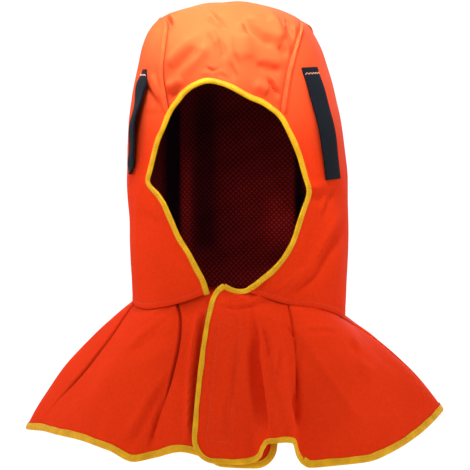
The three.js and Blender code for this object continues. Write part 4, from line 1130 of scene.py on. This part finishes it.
joint = int(np.argmin(np.abs(capeHem - tape["joint"])))
frontLine = [np.concatenate(parts) for parts in zip(flapSide(0, 1, 0), hemEdge(np.arange(1, joint + 1), 1))]
foldedTape("front_tape", *frontLine, tape["front"], "front_binding")
final = len(capeHem) - 1
underSide = [part[::-1] for part in flapSide(final, -1, tape["underFirst"])]
hemLine = [np.concatenate(parts) for parts in zip(hemEdge(np.arange(joint - 1, final), -1), underSide)]
foldedTape("hem_tape", *hemLine, tape["hem"], "hem_binding")
print("edge tape made")

# Straps on the side panels, sewn down at both ends and loose between
strap = {
    "rows": 80, "columns": 22, "flat": (0.028, 0.110), "thick": 1.6, "clear": 0.7,
    "width": {1: 28.0, -1: 26.0},
    "drop": {1: (64.0, 172.0), -1: (66.0, 168.0)}, "turn": {1: (38.5, 27.5), -1: (44.0, 33.0)},
    "pinch": {1: 0.0, -1: 0.55}, "pinchEnds": (0.14, 0.12), "tilt": {1: 0.0, -1: 4.2},
    "slack": {1: 2.6, -1: 4.2}, "endSlack": 0.3, "slackOver": (0.15, 1), "edgeRound": 0.5, "edgePower": 8,
    "wave": {1: 0.25, -1: 0.9}, "waveTurns": (15, 0.7), "waveOver": (0.1, 0.6),
    # bar of stitches across the upper end: place, dent and its width, swing and its turns, reach and lift
    "stitchAt": 0.055, "dent": (0.35, 0.012), "swing": (0.007, 34), "stitchReach": (0.04, 0.96),
    "stitchPoints": 60, "stitchLift": 0.1,
    "stitch": {"pitch": 1.5, "length": 1.7, "thick": 0.75},
}


# A strap's surface: the side panel under it, raised by its slack, a tilt to one side and a small wave
def strapPiece(hand, word):
    share = np.linspace(0, 1, strap["rows"])[:, None]
    level, turn = mix(*strap["drop"][hand], share), mix(*strap["turn"][hand], share)
    spread = smooth(share, 0, strap["pinchEnds"][0]) * smooth(1 - share, 0, strap["pinchEnds"][1])
    wide = strap["width"][hand] * (1 - strap["pinch"][hand] * (1 - spread))
    half = np.degrees(wide / 2 / sectionRadius(level, turn, hand))
    across = np.linspace(1, -1, strap["columns"])[None]
    base = sidePoints(level, turn + half * across, hand)
    normals = gridNormals(base, headMiddle)
    arch = np.sin(math.pi * share)
    loose = mix(strap["endSlack"], 1, smooth(arch, *strap["slackOver"]))
    rise = strap["clear"] + strap["thick"] + (strap["slack"][hand] + strap["tilt"][hand] * across) * loose
    wave = np.sin(share * strap["waveTurns"][0] + across * strap["waveTurns"][1])
    rise = rise + strap["wave"][hand] * wave * smooth(arch, *strap["waveOver"])
    rise = rise - strap["dent"][0] * bell(share - strap["stitchAt"], strap["dent"][1])
    rise = rise - strap["edgeRound"] * np.abs(across) ** strap["edgePower"]
    grid = base + normals * rise[..., None]
    over = gridNormals(grid, headMiddle)
    piece = clothSheet("strap_" + word + "_band", grid, over, strap["thick"])
    dressed(piece, "pile", "strap_" + word)
    t = np.linspace(*strap["stitchReach"], strap["stitchPoints"])
    swing = np.sin(t * strap["swing"][1])
    row = strap["stitchAt"] + strap["swing"][0] * np.sign(swing) * np.abs(swing) ** 0.5
    place = row * (strap["rows"] - 1), t * (strap["columns"] - 1)
    upright = between(over, *place)
    sewing = between(grid, *place) + upright * strap["stitchLift"]
    bar = stitchRow("strap_" + word + "_stitches", sewing, upright, strap["stitch"])
    dressed(bar, "paleThread")


for hand, word in handWords.items():
    strapPiece(hand, word)
print("straps made")

# Hook-and-loop tape between the flaps: loops inside the outer flap, hooks on the under flap's outer face
closure = {
    "width": 24.0, "thick": 1.4, "rows": 60, "columns": 14, "sewnAt": 1.5, "flat": (0.024, 0.112),
    "loop": {"angle": (-2.0, -4.6), "along": (0.21, 0.88), "depth": 2.05},
    "hook": {"angle": (350.9, 354.5), "along": (0.10, 0.84), "depth": -2.1},
}


# Row and column of the cape's grid at an angle and a way along, among the columns of one flap
def capePlace(angle, along, columns):
    at = mix(capeNeck[columns][None], capeHem[columns][None], along.ravel()[:, None])
    at = at + capeBend[columns][None] * tuckBow(along).ravel()[:, None]
    column = (columns[0] + placeIn(at, angle.ravel())).reshape(angle.shape)
    end = np.interp(column, np.arange(len(capeEnd)), capeEnd)
    return np.interp(along / end, capeRows, np.arange(len(capeRows))), column


overColumns = np.arange(0, cape["gores"][0][2] + 1)
underColumns = np.arange(final - cape["gores"][-2][2], final + 1)


# A closure tape follows its flap's grid, at a depth under the outer face or over it
def closureTape(name, part, columns, node):
    share = np.linspace(0, 1, closure["rows"])[:, None]
    along, start = mix(*part["along"], share), mix(*part["angle"], share)
    way = np.linspace(0, 1, closure["columns"])[None]
    angle = start + closure["width"] / degreeWidth(start, along) * way
    place = capePlace(angle, along + 0 * angle, columns)
    grid, normals = between(capeGrid, *place), unit(between(capeNormals, *place))
    piece = clothSheet(name, grid - normals * part["depth"], normals, closure["thick"])
    dressed(piece, "hooks", node)


closureTape("closure_loops", closure["loop"], overColumns, "closure_loop_tape")
closureTape("closure_hooks", closure["hook"], underColumns, "closure_hook_tape")

# Stitching in orange thread: the closure tape's box on the outer flap, and a row above the neck seam
drillStitch = {"pitch": 3.4, "length": 2.7, "thick": 0.45}


# Line round the loop tape, a little inside its edge, on the outer flap
def flapBox():
    t = np.linspace(0, 1, closure["rows"])
    low, high = closure["loop"]["along"]
    along = np.concatenate([mix(low, high, t), 0 * t + high, mix(high, low, t), 0 * t + low])
    way = np.concatenate([0 * t, t, 0 * t + 1, 1 - t])
    start = mix(*closure["loop"]["angle"], (along - low) / (high - low))
    sewn = closure["sewnAt"] + (closure["width"] - 2 * closure["sewnAt"]) * way
    place = capePlace(start + sewn / degreeWidth(start, along), along, overColumns)
    return between(capeGrid, *place), unit(between(capeNormals, *place))


dressed(stitchRow("flap_stitches", *flapBox(), drillStitch), "orangeThread")


# The row of stitches a little above each panel's lower edge
def neckRow(grid, normals, toHem):
    j = np.arange(grid.shape[1], dtype=float)
    i = placeIn(-toHem.T, np.full(len(j), -sidePanel["stitchAt"]))
    kept = slice(*sidePanel["stitchColumns"])
    return between(grid, i, j)[kept], between(normals, i, j)[kept]


for hand, word in handWords.items():
    path = neckRow(sides[hand]["grid"], sides[hand]["normals"], sides[hand]["toHem"])
    dressed(stitchRow("neck_stitches_" + word, *path, drillStitch), "orangeThread")
print("stitching made")

# Studio: white surroundings, a soft light close over the crown, and pale fills
studio = {
    "world": 0.515, "shown": 1.1, "floor": -0.62, "floorReach": 0.74, "glow": 0.3,
    # name, place, aim, size in metres, spread of the beam in degrees, watts, colour
    "lights": [("over", (-0.06, -0.075, 0.19), (-0.01, -0.04, -0.05), (0.30, 0.20), 180, 2.2,
                (1.0, 1.0, 1.05)),
               ("brow", (-0.01, -0.5, 0.48), (0.01, -0.075, -0.06), (0.2, 0.08), 24, 0.29, (0.9, 1.0, 1.2)),
               ("left", (-1.5, -0.8, -0.3), (-0.1, 0.0, -0.38), (0.9, 0.9), 180, 6.7, (1.0, 1.0, 1.0)),
               ("right", (1.5, -0.8, -0.3), (0.1, 0.0, -0.38), (0.9, 0.9), 180, 4.6, (1.0, 1.0, 1.0)),
               ("back", (0.3, 2.3, 0.5), (0.0, 0.0, -0.25), (1.6, 1.4), 180, 22.0, (1.0, 1.0, 1.0)),
               ("side_left", (2.2, 0.9, 0.3), (0.0, 0.1, -0.25), (1.2, 1.2), 180, 13.0, (1.0, 1.0, 1.0)),
               ("side_right", (-2.2, 0.9, 0.3), (0.0, 0.1, -0.25), (1.2, 1.2), 180, 13.0, (1.0, 1.0, 1.0))],
}


def lightStudio():
    for name, place, aim, size, spread, watts, tint in studio["lights"]:
        data = bpy.data.lights.new(name + "_light", "AREA")
        data.shape = "RECTANGLE"
        data.size, data.size_y = size
        data.spread = math.radians(spread)
        data.energy = watts
        data.color = tint
        lamp = bpy.data.objects.new(name + "_light", data)
        lamp.location = place
        lamp.visible_camera = False
        lamp.rotation_mode = "QUATERNION"
        lamp.rotation_quaternion = (Vector(aim) - Vector(place)).to_track_quat("-Z", "Y")
        bpy.context.scene.collection.objects.link(lamp)
    world = bpy.data.worlds.new("white_studio")
    bpy.context.scene.world = world
    world.use_nodes = True
    tree = world.node_tree
    seen = addNode(tree, "ShaderNodeLightPath", {})["Is Camera Ray"]
    shades = {"Value": seen, "To Min": studio["world"], "To Max": studio["shown"]}
    strength = addNode(tree, "ShaderNodeMapRange", shades)[0]
    setSockets(tree, tree.nodes["Background"], {"Color": (1, 1, 1, 1), "Strength": strength})
    bpy.context.scene.view_settings.view_transform = "Standard"


# White paper, matt, with a weak light of its own, so that it stays white under the hood
def layFloor():
    material, tree, shader = newMaterial("white_paper_floor")
    setSockets(tree, shader, {"Base Color": (0.9, 0.9, 0.9, 1), "Roughness": 0.9,
                              "Emission Color": (1, 1, 1, 1), "Emission Strength": studio["glow"]})
    around = np.linspace(0, 2 * math.pi, 96, endpoint=False)
    points = np.stack([np.cos(around), np.sin(around), 0 * around], -1) * studio["floorReach"] * 1000
    points[:, 2] = studio["floor"] * 1000
    floor = makeMesh("floor", points, [np.arange(96)[None]])
    floor.data.materials.append(material)


lightStudio()
layFloor()
print("hood dressed")
